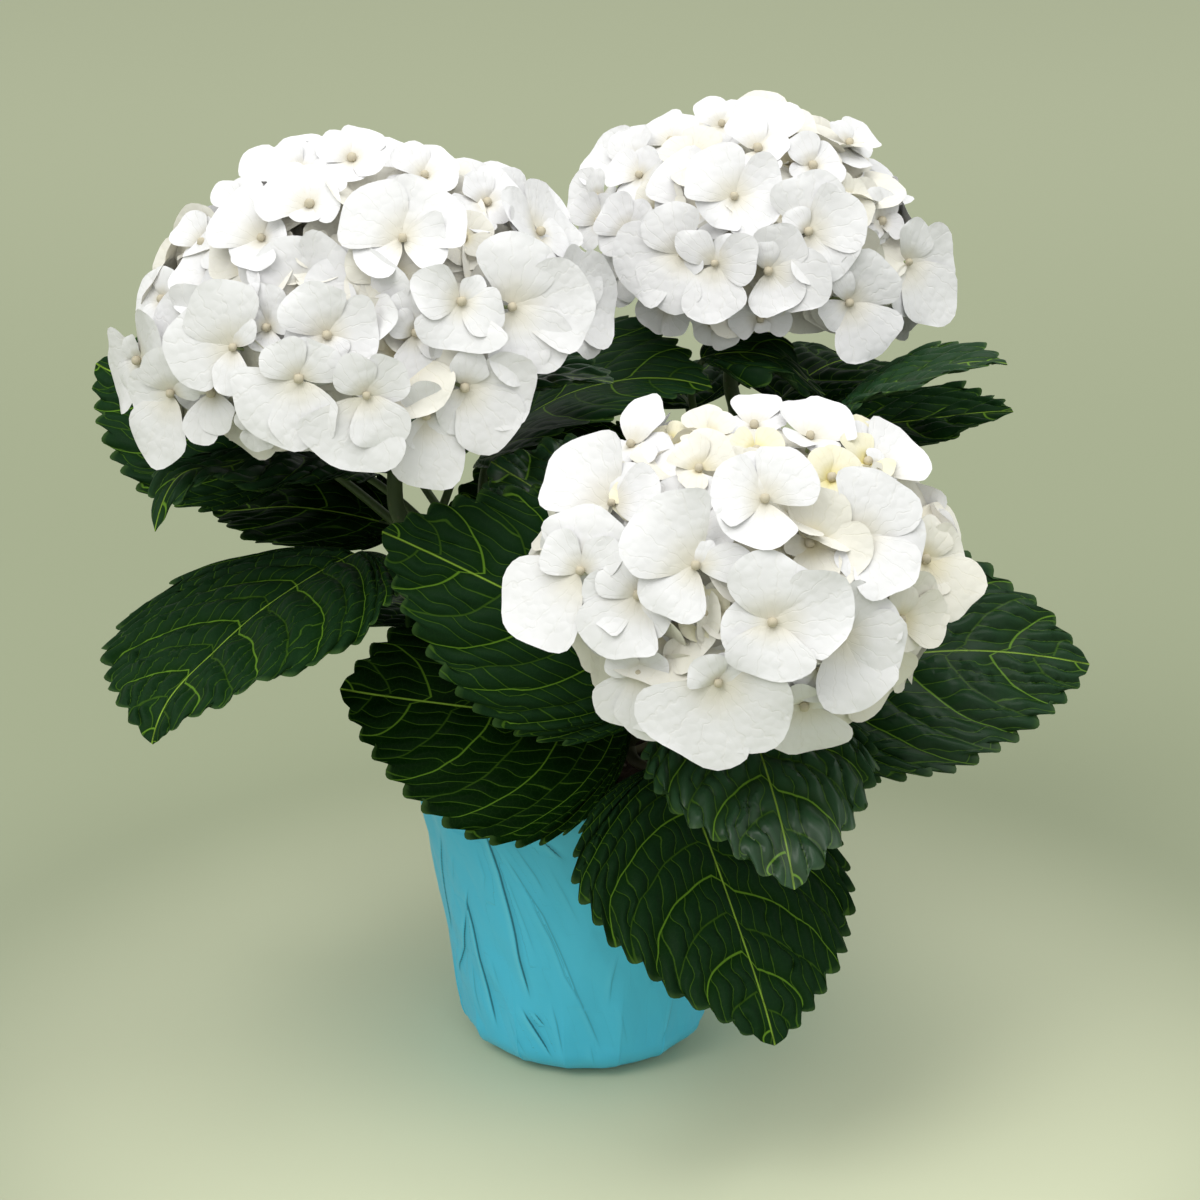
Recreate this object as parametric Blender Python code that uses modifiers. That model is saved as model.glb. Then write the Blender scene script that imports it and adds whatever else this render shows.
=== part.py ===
"""A potted mophead hydrangea: three white flower heads over large toothed leaves, in a plastic
pot dressed in turquoise film.

The frame has +Z up and its origin at the middle of the film's flat underside. +X is to the
right and -Y towards the side that the front head leans to. All lengths are in metres.
"""

import math
import random

import bmesh
import bpy
import numpy as np
from mathutils import Vector

# ---- Driving dimensions ----------------------------------------------------------------
GAP = 0.0003  # clearance between pieces that rest on each other
NODE_GAP = 0.0008  # clearance between a leaf's stalk and its stem
FILM = 0.0008  # wall of the film cover
POT_WALL = 0.0018
RIM_RADIUS = 0.0680  # film's outer radius at the rim
FOOT_RADIUS = 0.0462  # film's outer radius where its side would reach the ground
FOOT_ROUND = 0.0150  # rounding of the film's lower edge
RIM_HEIGHT = 0.1280
SOIL_DROP = 0.0140  # soil surface below the rim
STEM_FOOT_RADIUS = 0.0048
STEM_TOP_RADIUS = 0.0034
FLARE = 1.35  # how much wider a stem is in its last few millimetres above the soil
PETIOLE_RADIUS = 0.0023
BLADE_THICKNESS = 0.0015
FLORET_THICKNESS = 0.0020  # at a floret's middle
STALKLET_RADIUS = 0.0013  # of a floret's own stalk
ROUND_STEPS = 32  # facets round the pot and the film
STEM_SIDES = 10
PETIOLE_SIDES = 6
SEED = 7

SOIL_TOP = RIM_HEIGHT - SOIL_DROP

# Each stem: where it leaves the soil (x, y), where its head's stalk begins, and how far the
# middle of the stem bows sideways from the straight line between them.
STEMS = {
    "left": {"foot": (-0.014, 0.006), "top": (-0.065, 0.002, 0.212), "bow": (0.016, 0.0)},
    "right": {"foot": (0.014, 0.014), "top": (0.058, 0.074, 0.226), "bow": (-0.010, -0.012)},
    "front": {"foot": (0.006, -0.014), "top": (0.043, -0.047, 0.166), "bow": (-0.006, 0.006)},
}

# Each flower head: middle of the dome, radii across and along its axis to the florets' faces,
# where its axis leans (degrees to the right, degrees to the front), floret count and radius.
HEADS = {
    "left": {
        "middle": (-0.085, 0.006, 0.293), "radii": (0.085, 0.079, 0.069), "lean": (-15, 6),
        "florets": 46, "floret_radius": 0.0190, "skirt": 102,
    },
    "right": {
        "middle": (0.068, 0.090, 0.290), "radii": (0.068, 0.066, 0.060), "lean": (14, -8),
        "florets": 32, "floret_radius": 0.0185, "skirt": 98,
    },
    "front": {
        "middle": (0.059, -0.088, 0.228), "radii": (0.079, 0.067, 0.058), "lean": (8, 32),
        "florets": 34, "floret_radius": 0.0190, "skirt": 102,
    },
}

# Each leaf: its stem, how far up the stem its stalk leaves it, where the blade begins and ends,
# the blade's width, and its set in degrees: roll raises its right-hand side as seen from the
# base, fold lifts both halves. arch is the midrib's rise over its chord, droop the fall of both
# margins and curl the fall of the tip, as shares of the length or the half width.
LEAVES = {
    "left_low": {
        "stem": "left", "node": 0.60, "base": (-0.087, -0.012, 0.210),
        "tip": (-0.155, -0.114, 0.179), "width": 0.118,
        "roll": -10, "fold": 12, "arch": 0.02, "droop": 0.22, "curl": -0.07, "sweep": 0.10,
    },
    "left_curled": {
        "stem": "left", "node": 0.88, "base": (-0.083, 0.021, 0.229),
        "tip": (-0.158, -0.048, 0.234), "width": 0.064,
        "roll": -7, "fold": 5, "arch": 0.14, "droop": 0.26, "curl": -0.26, "sweep": 0.10,
    },
    "left_far": {
        "stem": "left", "node": 0.80, "base": (-0.106, 0.043, 0.227),
        "tip": (-0.193, 0.079, 0.252), "width": 0.092,
        "roll": 36, "fold": 9, "arch": 0.06, "droop": 0.08, "curl": 0.05, "sweep": -0.03,
    },
    "left_shaded": {
        "stem": "left", "node": 0.62, "base": (-0.072, 0.045, 0.196),
        "tip": (-0.148, 0.063, 0.196), "width": 0.064,
        "roll": 12, "fold": 8, "arch": 0.07, "droop": 0.10, "curl": 0.07, "sweep": 0.00,
    },
    "middle_small": {
        "stem": "left", "node": 0.97, "base": (-0.036, 0.030, 0.258),
        "tip": (0.011, 0.000, 0.274), "width": 0.042,
        "roll": 0, "fold": 10, "arch": 0.08, "droop": 0.12, "curl": 0.02, "sweep": -0.01,
    },
    "middle_large": {
        "stem": "left", "node": 0.75, "base": (-0.040, 0.058, 0.222),
        "tip": (0.049, 0.034, 0.259), "width": 0.098,
        "roll": -10, "fold": 10, "arch": 0.13, "droop": 0.06, "curl": -0.02, "sweep": -0.05,
    },
    "middle_shaded": {
        "stem": "right", "node": 0.62, "base": (0.038, 0.080, 0.192),
        "tip": (-0.056, 0.080, 0.188), "width": 0.074,
        "roll": 60, "fold": 5, "arch": 0.05, "droop": 0.08, "curl": 0.04,
    },
    "front_left_up": {
        "stem": "front", "node": 0.96, "base": (0.009, -0.030, 0.217),
        "tip": (-0.035, -0.012, 0.247), "width": 0.076,
        "roll": 24, "fold": 4, "arch": 0.07, "droop": 0.09, "curl": 0.02, "sweep": 0.01,
    },
    "front_left": {
        "stem": "front", "node": 0.76, "base": (0.036, -0.063, 0.182),
        "tip": (-0.074, -0.055, 0.237), "width": 0.096,
        "roll": 70, "fold": 1, "arch": 0.06, "droop": 0.12, "curl": 0.08, "sweep": 0.01,
    },
    "front_low_left": {
        "stem": "front", "node": 0.40, "base": (0.018, -0.041, 0.151),
        "tip": (-0.092, -0.042, 0.167), "width": 0.109,
        "roll": 51, "fold": 10, "arch": 0.06, "droop": 0.04, "curl": 0.03, "sweep": -0.02,
    },
    "front_right": {
        "stem": "front", "node": 0.76, "base": (0.069, -0.044, 0.168),
        "tip": (0.191, -0.033, 0.173), "width": 0.104,
        "roll": -38, "fold": 4, "arch": 0.11, "droop": 0.10, "curl": 0.02, "sweep": -0.03,
    },
    "front_under": {
        "stem": "front", "node": 0.96, "base": (0.056, -0.064, 0.173),
        "tip": (0.075, -0.152, 0.140), "width": 0.088,
        "roll": -1, "fold": 5, "arch": 0.12, "droop": 0.16, "curl": -0.03, "sweep": 0.00,
    },
    "front_hanging": {
        "stem": "front", "node": 0.40, "base": (0.035, -0.045, 0.138),
        "tip": (0.070, -0.134, 0.066), "width": 0.115,
        "roll": 7, "fold": 2, "arch": 0.03, "droop": 0.12, "curl": -0.02, "sweep": 0.00,
    },
    "right_inner": {
        "stem": "right", "node": 0.92, "base": (0.045, 0.054, 0.264),
        "tip": (0.094, 0.060, 0.246), "width": 0.050,
        "roll": -2, "fold": 7, "arch": 0.17, "droop": 0.20, "curl": 0.11, "sweep": 0.00,
    },
    "right_shaded": {
        "stem": "right", "node": 0.60, "base": (0.070, 0.040, 0.222),
        "tip": (0.030, -0.014, 0.232), "width": 0.070,
        "roll": 0, "fold": 4, "arch": 0.06, "droop": 0.10, "curl": 0.06,
    },
    "right_upper": {
        "stem": "right", "node": 0.92, "base": (0.096, 0.024, 0.252),
        "tip": (0.159, 0.004, 0.280), "width": 0.064,
        "roll": 3, "fold": 9, "arch": 0.09, "droop": 0.11, "curl": -0.04, "sweep": 0.00,
    },
    "right_lower": {
        "stem": "right", "node": 0.70, "base": (0.084, 0.056, 0.232),
        "tip": (0.165, 0.032, 0.250), "width": 0.079,
        "roll": -2, "fold": 5, "arch": 0.01, "droop": 0.11, "curl": -0.02, "sweep": 0.01,
    },
    "back_left_low": {
        "stem": "left", "node": 0.36, "base": (-0.050, 0.032, 0.160),
        "tip": (-0.112, 0.104, 0.126), "width": 0.088,
        "roll": -6, "fold": 5, "arch": 0.10, "droop": 0.12, "curl": 0.05,
    },
    "back_left_up": {
        "stem": "left", "node": 0.68, "base": (-0.066, 0.056, 0.214),
        "tip": (-0.110, 0.130, 0.208), "width": 0.084,
        "roll": -6, "fold": 5, "arch": 0.12, "droop": 0.12, "curl": 0.05,
    },
    "back_low": {
        "stem": "right", "node": 0.30, "base": (0.004, 0.048, 0.150),
        "tip": (-0.030, 0.136, 0.122), "width": 0.090,
        "roll": 0, "fold": 5, "arch": 0.12, "droop": 0.12, "curl": 0.05,
    },
    "back_right_low": {
        "stem": "right", "node": 0.30, "base": (0.054, 0.044, 0.150),
        "tip": (0.100, 0.118, 0.118), "width": 0.088,
        "roll": 0, "fold": 5, "arch": 0.12, "droop": 0.12, "curl": 0.05,
    },
    "back_right_middle": {
        "stem": "right", "node": 0.52, "base": (0.066, 0.068, 0.194),
        "tip": (0.132, 0.128, 0.172), "width": 0.086,
        "roll": 6, "fold": 5, "arch": 0.12, "droop": 0.12, "curl": 0.05,
    },
    "back_up": {
        "stem": "right", "node": 0.80, "base": (0.044, 0.098, 0.226),
        "tip": (0.004, 0.170, 0.208), "width": 0.082,
        "roll": 0, "fold": 5, "arch": 0.12, "droop": 0.12, "curl": 0.05,
    },
    "back_right_up": {
        "stem": "right", "node": 0.80, "base": (0.078, 0.100, 0.228),
        "tip": (0.128, 0.168, 0.216), "width": 0.082,
        "roll": 0, "fold": 5, "arch": 0.12, "droop": 0.12, "curl": 0.05,
    },
    "side_right": {
        "stem": "right", "node": 0.44, "base": (0.064, 0.020, 0.186),
        "tip": (0.138, 0.000, 0.176), "width": 0.076,
        "roll": -8, "fold": 5, "arch": 0.10, "droop": 0.10, "curl": 0.04,
    },
    "side_right_low": {
        "stem": "front", "node": 0.24, "base": (0.042, -0.006, 0.136),
        "tip": (0.132, 0.016, 0.122), "width": 0.084,
        "roll": -8, "fold": 5, "arch": 0.10, "droop": 0.10, "curl": 0.04,
    },
}

# ---- Materials -------------------------------------------------------------------------
COLOURS = {
    "film": ((0.055, 0.345, 0.440), 0.42),
    "pot": ((0.020, 0.022, 0.022), 0.45),
    "soil": ((0.030, 0.018, 0.010), 0.95),
    "stem": ((0.110, 0.150, 0.045), 0.50),
    "leaf": ((0.014, 0.050, 0.012), 0.42),
    "petal": ((0.860, 0.850, 0.800), 0.55),
}


def material(name):
    """The named Principled material, made on first use."""
    made = bpy.data.materials.get(name)
    if made is None:
        colour, roughness = COLOURS[name]
        made = bpy.data.materials.new(name)
        made.use_nodes = True
        shader = made.node_tree.nodes["Principled BSDF"]
        shader.inputs["Base Color"].default_value = (*colour, 1.0)
        shader.inputs["Roughness"].default_value = roughness
        shader.inputs["Metallic"].default_value = 0.0
        made.diffuse_color = (*colour, 1.0)
    return made


# ---- Object helpers --------------------------------------------------------------------
def clear_scene():
    for obj in list(bpy.data.objects):
        bpy.data.objects.remove(obj)


def collection(name):
    made = bpy.data.collections.new(name)
    bpy.context.scene.collection.children.link(made)
    return made


def mesh_object(name, mesh, group, finish):
    obj = bpy.data.objects.new(name, mesh)
    mesh.materials.clear()
    mesh.materials.append(material(finish))
    group.objects.link(obj)
    return obj


def mesh_from_bmesh(name, shape):
    bmesh.ops.recalc_face_normals(shape, faces=shape.faces)
    mesh = bpy.data.meshes.new(name)
    shape.to_mesh(mesh)
    shape.free()
    return mesh


def turned(name, profile, group, finish):
    """A solid of revolution: the closed profile of (radius, height) points runs down its outer
    side from the top, and a Screw modifier turns it about Z."""
    mesh = bpy.data.meshes.new(name)
    edges = [(i, i + 1) for i in range(len(profile) - 1)]
    mesh.from_pydata([(r, 0.0, z) for r, z in profile], edges, [])
    obj = mesh_object(name, mesh, group, finish)
    screw = obj.modifiers.new("turn", "SCREW")
    screw.steps = ROUND_STEPS
    screw.render_steps = ROUND_STEPS
    screw.use_merge_vertices = True
    screw.merge_threshold = 1e-5
    screw.use_smooth_shade = True
    return obj


def joined(name, pieces, group, finish):
    """One solid from overlapping pieces, by one Boolean union on a collection, applied."""
    parts = bpy.data.collections.new(name + "_parts")
    bpy.context.scene.collection.children.link(parts)
    for i, mesh in enumerate(pieces[1:]):
        parts.objects.link(bpy.data.objects.new(f"{name}_part_{i}", mesh))
    body = bpy.data.objects.new(name + "_body", pieces[0])
    bpy.context.scene.collection.objects.link(body)
    union = body.modifiers.new("union", "BOOLEAN")
    union.operation = "UNION"
    union.solver = "MANIFOLD"
    union.operand_type = "COLLECTION"
    union.collection = parts
    graph = bpy.context.evaluated_depsgraph_get()
    mesh = bpy.data.meshes.new_from_object(body.evaluated_get(graph))
    for obj in list(parts.objects):
        bpy.data.objects.remove(obj)
    bpy.data.collections.remove(parts)
    bpy.data.objects.remove(body)
    mesh.name = name
    return mesh_object(name, mesh, group, finish)


# ---- Pot, film and soil ----------------------------------------------------------------
def side_radius(height):
    """Outer radius of the film's straight side at a height."""
    return FOOT_RADIUS + (RIM_RADIUS - FOOT_RADIUS) * height / RIM_HEIGHT


def rounded_foot(inset, steps=3):
    """(radius, height) points round the lower edge, from the side down to the flat underside,
    for a cup whose outer face lies inset inside the film's."""
    corner = FOOT_ROUND - inset
    centre = (side_radius(FOOT_ROUND) - FOOT_ROUND, FOOT_ROUND)
    turns = [math.radians(90 * i / steps) for i in range(steps + 1)]
    return [
        (centre[0] + corner * math.cos(a), centre[1] - corner * math.sin(a)) for a in turns
    ]


def cup_profile(inset, wall, top):
    """A cup's section, from the middle of its floor up inside, over the rim, down its outer
    side and in along its underside."""
    inner = [(side_radius(top) - inset - wall, top), *rounded_foot(inset + wall)]
    outer = [(side_radius(top) - inset, top), *rounded_foot(inset)]
    return [(0.0, inset + wall), *reversed(inner), *outer, (0.0, inset)]


def build_pot(group):
    turned("pot_film", cup_profile(0.0, FILM, RIM_HEIGHT), group, "film")
    turned("pot", cup_profile(FILM + GAP, POT_WALL, RIM_HEIGHT - 0.0012), group, "pot")
    inset = FILM + POT_WALL + 2 * GAP
    outer = [(side_radius(SOIL_TOP) - inset, SOIL_TOP), *rounded_foot(inset)]
    turned("soil", [(0.0, SOIL_TOP), *outer, (0.0, inset)], group, "soil")


# ---- Stems -----------------------------------------------------------------------------
def stem_point(stem, share):
    """The stem's centre line, a quadratic bow from its foot to its top."""
    foot = Vector((*stem["foot"], SOIL_TOP + GAP))
    top = Vector(stem["top"])
    middle = (foot + top) / 2 + Vector((*stem["bow"], 0.0))
    bend = 2 * middle - (foot + top) / 2
    return foot * (1 - share) ** 2 + bend * 2 * share * (1 - share) + top * share**2


def stem_direction(stem, share):
    ahead = stem_point(stem, min(share + 0.01, 1.0))
    return (ahead - stem_point(stem, max(share - 0.01, 0.0))).normalized()


def stem_radius(share):
    flare = 1 + (FLARE - 1) * max(0.0, 1 - share / 0.10) ** 2
    return (STEM_FOOT_RADIUS + (STEM_TOP_RADIUS - STEM_FOOT_RADIUS) * share) * flare


def build_stem(name, stem, group):
    """A tapering limb with a flat cut on the soil and a flat tip under its flower head."""
    shares = [0.0, 0.04, 0.10, 0.25, 0.42, 0.60, 0.80, 1.0]
    rings = []
    for share in shares:
        centre = stem_point(stem, share)
        along = Vector((0, 0, 1)) if share == 0 else stem_direction(stem, share)
        rings.append((centre, along, stem_radius(share)))
    mesh = lofted(name, rings, STEM_SIDES)
    obj = mesh_object("stem_" + name, mesh, group, "stem")
    obj.data.shade_smooth()
    obj.data.set_sharp_from_angle(angle=math.radians(40))


def lofted(name, rings, sides):
    """A closed tube through rings of (centre, axis, radius), each square to its own axis."""
    shape = bmesh.new()
    loops = []
    side = Vector((1, 0, 0))
    for centre, along, radius in rings:
        side = (side - along * side.dot(along)).normalized()
        other = along.cross(side)
        angles = [2 * math.pi * k / sides for k in range(sides)]
        loops.append([
            shape.verts.new(centre + radius * (side * math.cos(a) + other * math.sin(a)))
            for a in angles
        ])
    for lower, upper in zip(loops, loops[1:]):
        for k in range(sides):
            n = (k + 1) % sides
            shape.faces.new((lower[k], lower[n], upper[n], upper[k]))
    shape.faces.new(list(reversed(loops[0])))
    shape.faces.new(loops[-1])
    mesh = bpy.data.meshes.new(name)
    shape.to_mesh(mesh)
    shape.free()
    return mesh


# ---- Leaves ----------------------------------------------------------------------------
WIDEST_A, WIDEST_B = 0.55, 0.85  # powers of the outline near the base and near the tip
LATERAL_FOOT = 0.30  # share of the margin that the veins from the blade's base reach


def outline(q):
    """Half width of the blade as a share of its greatest, q of the way from base to tip."""
    peak = WIDEST_A / (WIDEST_A + WIDEST_B)
    return (q / peak) ** WIDEST_A * ((1 - q) / (1 - peak)) ** WIDEST_B


def blade_place(u, t):
    """Where a side vein that ends u along the margin is, t of the way out from the midrib:
    its shares of the blade's length and of its half width. Veins lean and bow to the tip."""
    foot = np.maximum(0.0, (u - LATERAL_FOOT) / (1 - LATERAL_FOOT)) ** 2
    along = foot + (u - foot) * t**1.5
    bowed = np.clip((u - 0.3) / 0.3, 0, 1)
    out = (1 - bowed) * t + bowed * (1 - (1 - t) ** 1.6)
    return along, outline(u) * out


def leaf_axes(leaf):
    """Base, length and the three unit axes of a blade: along, to its right, and up from it."""
    base, tip = np.array(leaf["base"]), np.array(leaf["tip"])
    along = tip - base
    length = float(np.linalg.norm(along))
    along = along / length
    right = np.cross(along, (0.0, 0.0, 1.0))
    right /= np.linalg.norm(right)
    up = np.cross(right, along)
    roll = math.radians(leaf["roll"])
    right, up = (
        right * math.cos(roll) + up * math.sin(roll),
        up * math.cos(roll) - right * math.sin(roll),
    )
    return base, length, along, right, up


def midrib_rise(leaf, q):
    """Height of the midrib over its chord, and that height's slope, as shares of the length."""
    arch, curl = leaf["arch"], leaf["curl"]
    late = np.maximum(0.0, q - 0.55) / 0.45
    rise = 4 * arch * q * (1 - q) - curl * late**2 * (1 - late) * 2.2
    slope = 4 * arch * (1 - 2 * q) - curl * (2 * late - 3 * late**2) * 2.2 / 0.45
    return rise, slope


def blade_points(leaf, u, t, side, margin=1.0):
    """Points on the blade's middle surface. side is 1 for the right half and -1 for the left,
    and margin scales the half width, as a tooth does."""
    base, length, along, right, up = leaf_axes(leaf)
    q, out = blade_place(u, t)
    out = out * margin
    rise, slope = midrib_rise(leaf, q)
    half = leaf["width"] / 2
    fold = math.radians(leaf["fold"])
    lean = np.sqrt(1 + slope**2)
    normal = (up - slope[..., None] * along) / lean[..., None]
    wide = side * out * half * math.cos(fold) + 4 * leaf.get("sweep", 0.0) * length * q * (1 - q)
    lift = out * half * math.sin(fold) - leaf["droop"] * half * out**2
    return (
        base
        + (q * length)[..., None] * along
        + (rise * length)[..., None] * up
        + wide[..., None] * right
        + lift[..., None] * normal
    )


def thickened(name, points, faces, thickness):
    """A closed thin solid round a surface of points and consistently wound faces."""
    points = np.array(points)
    normals = np.zeros_like(points)
    edges = set()
    for face in faces:
        a, b, c = (points[i] for i in face[:3])
        normal = np.cross(b - a, c - a)
        for i, n in zip(face, [*face[1:], face[0]]):
            normals[i] += normal
            edges.add((i, n))
    normals /= np.linalg.norm(normals, axis=1)[:, None]
    count = len(points)
    solid = [tuple(face) for face in faces]
    solid += [tuple(i + count for i in reversed(face)) for face in faces]
    rim = [(i, n) for i, n in sorted(edges) if (n, i) not in edges]
    solid += [(n, i, i + count, n + count) for i, n in rim]
    mesh = bpy.data.meshes.new(name)
    shell = np.vstack([points + normals * thickness / 2, points - normals * thickness / 2])
    mesh.from_pydata([tuple(p) for p in shell], [], solid)
    return mesh


def blade_mesh(name, leaf):
    """The blade as a thin solid over a grid along the side veins, with every other point of
    the margin drawn in for the teeth."""
    ends = [0.08, 0.20, 0.34, 0.47, 0.59, 0.70, 0.80, 0.90]
    outs = [0.5, 1.0]
    points = [blade_points(leaf, np.array(0.0), np.array(0.0), 1)]
    tip = len(points)
    points.append(blade_points(leaf, np.array(1.0), np.array(0.0), 1))
    middle = {}
    faces = []
    for side in (1, -1):
        rows = []
        for i, u in enumerate(ends):
            tooth = 0.94 if i % 2 else 1.0
            row = [0]
            foot = blade_place(np.array(u), np.array(0.0))[0]
            if foot > 0.0:
                if i not in middle:
                    middle[i] = len(points)
                    points.append(blade_points(leaf, np.array(u), np.array(0.0), 1))
                row[0] = middle[i]
            for t in outs:
                margin = tooth if t == 1.0 else 1.0
                row.append(len(points))
                points.append(blade_points(leaf, np.array(u), np.array(t), side, margin))
            rows.append(row)
        rows.append([tip] * (len(outs) + 1))
        sheet = []
        for lower, upper in zip([[0] * (len(outs) + 1), *rows], rows):
            for j in range(len(outs)):
                corners = [lower[j], lower[j + 1], upper[j + 1], upper[j]]
                corners = [c for k, c in enumerate(corners) if c != corners[k - 1]]
                if len(corners) > 2:
                    sheet.append(corners if side == 1 else corners[::-1])
        faces += sheet
    return thickened(name, points, faces, BLADE_THICKNESS)


def bezier(a, b, c, d, share):
    rest = 1 - share
    return a * rest**3 + b * 3 * share * rest**2 + c * 3 * share**2 * rest + d * share**3


def petiole_rings(leaf, steps=4):
    """Rings of a leaf's stalk: square to the stem where it leaves it, 0.3 mm clear, and sunk
    along the midrib where it enters the blade."""
    stem = STEMS[leaf["stem"]]
    node = stem_point(stem, leaf["node"])
    trunk = stem_direction(stem, leaf["node"])
    base, length, along, right, up = leaf_axes(leaf)
    start = Vector(base)
    out = start - node
    out = (out - trunk * out.dot(trunk)).normalized()
    foot = node + out * (stem_radius(leaf["node"]) + NODE_GAP)
    slope = midrib_rise(leaf, np.array(0.0))[1]
    rib = Vector(along + slope * up).normalized()
    end = start + rib * 0.12 * length
    reach = (end - foot).length
    rings = []
    for i in range(steps + 1):
        share = i / steps
        spot = bezier(foot, foot + out * reach * 0.30, end - rib * reach * 0.40, end, share)
        near = min(share + 0.02, 1.0)
        far = max(share - 0.02, 0.0)
        along_now = (
            bezier(foot, foot + out * reach * 0.30, end - rib * reach * 0.40, end, near)
            - bezier(foot, foot + out * reach * 0.30, end - rib * reach * 0.40, end, far)
        ).normalized()
        rings.append((spot, out if i == 0 else along_now, PETIOLE_RADIUS * (1 - 0.35 * share)))
    return rings


def build_leaf(name, leaf, group):
    stalk = lofted(name + "_stalk", petiole_rings(leaf), PETIOLE_SIDES)
    joined("leaf_" + name, [blade_mesh(name, leaf), stalk], group, "leaf")


# ---- Flower heads ----------------------------------------------------------------------
GOLDEN = math.pi * (3 - math.sqrt(5))
SHOULDER = 0.10  # how far the dome draws in half way down
SINK = 0.0030  # how much lower every other floret sits


def head_axes(head):
    """The head's own axes, with its lean: two across and the third out of the dome's top."""
    right, front = (math.radians(a) for a in head["lean"])
    top = Vector((math.sin(right), -math.sin(front), math.cos(right) * math.cos(front)))
    top.normalize()
    across = Vector((1, 0, 0))
    across = (across - top * across.dot(top)).normalized()
    return across, top.cross(across), top


def floret_places(head, count):
    """Middle and facing of each floret, spread evenly over the dome by the golden angle, from
    its top to its skirt. Every other floret sits lower, behind its neighbours."""
    middle = Vector(head["middle"])
    across, away, top = head_axes(head)
    a, b, c = head["radii"]
    lowest = math.cos(math.radians(head["skirt"]))
    for k in range(count):
        height = 1 - (1 - lowest) * (k + 0.5) / count
        ring = math.sqrt(max(0.0, 1 - height * height))
        x, y = ring * math.cos(GOLDEN * k), ring * math.sin(GOLDEN * k)
        fall = 1 - SHOULDER * (2 * height * ring) ** 2
        spot = middle + (across * (a * x) + away * (b * y) + top * (c * height)) * fall
        facing = (across * (x / a) + away * (y / b) + top * (height / c)).normalized()
        yield spot - facing * SINK * (k % 2), facing


def floret_mesh(name, spot, facing, root, radius, turn, rise):
    """One floret with its stalk: four broad sepals in a shallow saucer, notched between them,
    narrowing underneath to a three-sided stalk that runs back to its root."""
    side = facing.orthogonal().normalized()
    other = facing.cross(side)
    shape = bmesh.new()

    def ray(angle):
        return side * math.cos(angle) + other * math.sin(angle)

    rim = []
    for k in range(12):
        notch = k % 3 == 0
        angle = turn + math.radians(90 * (k // 3) + (0, 22, 68)[k % 3])
        reach = radius * (0.72 if notch else 1.0)
        level = radius * rise * (0.4 if notch else 1.0)
        rim.append(shape.verts.new(spot + ray(angle) * reach + facing * level))
    corners = [turn + math.radians(120 * j + 60) for j in range(3)]
    neck = [
        shape.verts.new(spot - facing * FLORET_THICKNESS + ray(angle) * STALKLET_RADIUS)
        for angle in corners
    ]
    foot = [shape.verts.new(root + ray(angle) * STALKLET_RADIUS * 1.4) for angle in corners]
    middle = shape.verts.new(spot)
    for k in range(12):
        ahead = rim[(k + 1) % 12]
        shape.faces.new((middle, rim[k], ahead))
        shape.faces.new((neck[k // 4], ahead, rim[k]))
    for j in range(3):
        n = (j + 1) % 3
        shape.faces.new((neck[j], neck[n], rim[(4 * n) % 12]))
        shape.faces.new((foot[j], foot[n], neck[n], neck[j]))
    shape.faces.new(reversed(foot))
    mesh = bpy.data.meshes.new(name)
    shape.to_mesh(mesh)
    shape.free()
    return mesh


def core_mesh(name, head, share):
    """The mass of buds and stalks behind the florets: a smaller dome, shallow underneath."""
    across, away, top = head_axes(head)
    a, b, c = (r * share for r in head["radii"])
    shape = bmesh.new()
    bmesh.ops.create_uvsphere(shape, u_segments=14, v_segments=8, radius=1.0)
    middle = Vector(head["middle"])
    for v in shape.verts:
        x, y, z = v.co
        v.co = middle + across * (a * x) + away * (b * y) + top * (c * (z if z > 0 else z / 2))
    return mesh_from_bmesh(name, shape)


def build_head(name, head, group):
    """A head's stalk, its core, and its florets on three-sided stalks sunk in the core."""
    rng = random.Random(SEED)
    across, away, top = head_axes(head)
    middle = Vector(head["middle"])
    stem_top = Vector(STEMS[name]["top"])
    start_axis = stem_direction(STEMS[name], 1.0)
    foot = stem_top + start_axis * GAP
    fork = middle - top * head["radii"][2] * 0.75
    reach = (middle - foot).length
    stalk = []
    for i in range(4):
        share = i / 3
        spot = bezier(foot, foot + start_axis * reach * 0.2, fork, middle, share)
        ahead = bezier(foot, foot + start_axis * reach * 0.2, fork, middle, share + 0.02)
        along = start_axis if i == 0 else (ahead - spot).normalized()
        stalk.append((spot, along, STEM_TOP_RADIUS * (1 - 0.25 * share)))
    pieces = [core_mesh(name + "_core", head, 0.76), lofted(name + "_stalk", stalk, 8)]
    for i, (spot, facing) in enumerate(floret_places(head, head["florets"])):
        tilt = Vector([rng.uniform(-1, 1) for _ in range(3)]) * 0.10
        face = (facing + tilt).normalized()
        size = head["floret_radius"] * rng.uniform(0.92, 1.08)
        turn = rng.uniform(0, math.pi / 2)
        rise = rng.uniform(0.10, 0.26)
        root = middle + (spot - middle) * 0.55
        pieces.append(floret_mesh(f"{name}_{i}", spot, face, root, size, turn, rise))
    joined("head_" + name, pieces, group, "petal")


# ---- The plant -------------------------------------------------------------------------
def main():
    clear_scene()
    plant = collection("hydrangea")
    build_pot(plant)
    for name, stem in STEMS.items():
        build_stem(name, stem, plant)
    for name, leaf in LEAVES.items():
        build_leaf(name, leaf, plant)
    for name, head in HEADS.items():
        build_head(name, head, plant)


main()
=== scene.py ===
"""A potted mophead hydrangea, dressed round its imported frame.

Three white flower heads of four-sepalled florets, large toothed and quilted leaves on stalks,
three green stems, and a plastic pot of soil in a pleated turquoise film. Lengths are in metres,
+Z is up and -Y is the side that the front head leans to.
"""

import math

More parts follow.
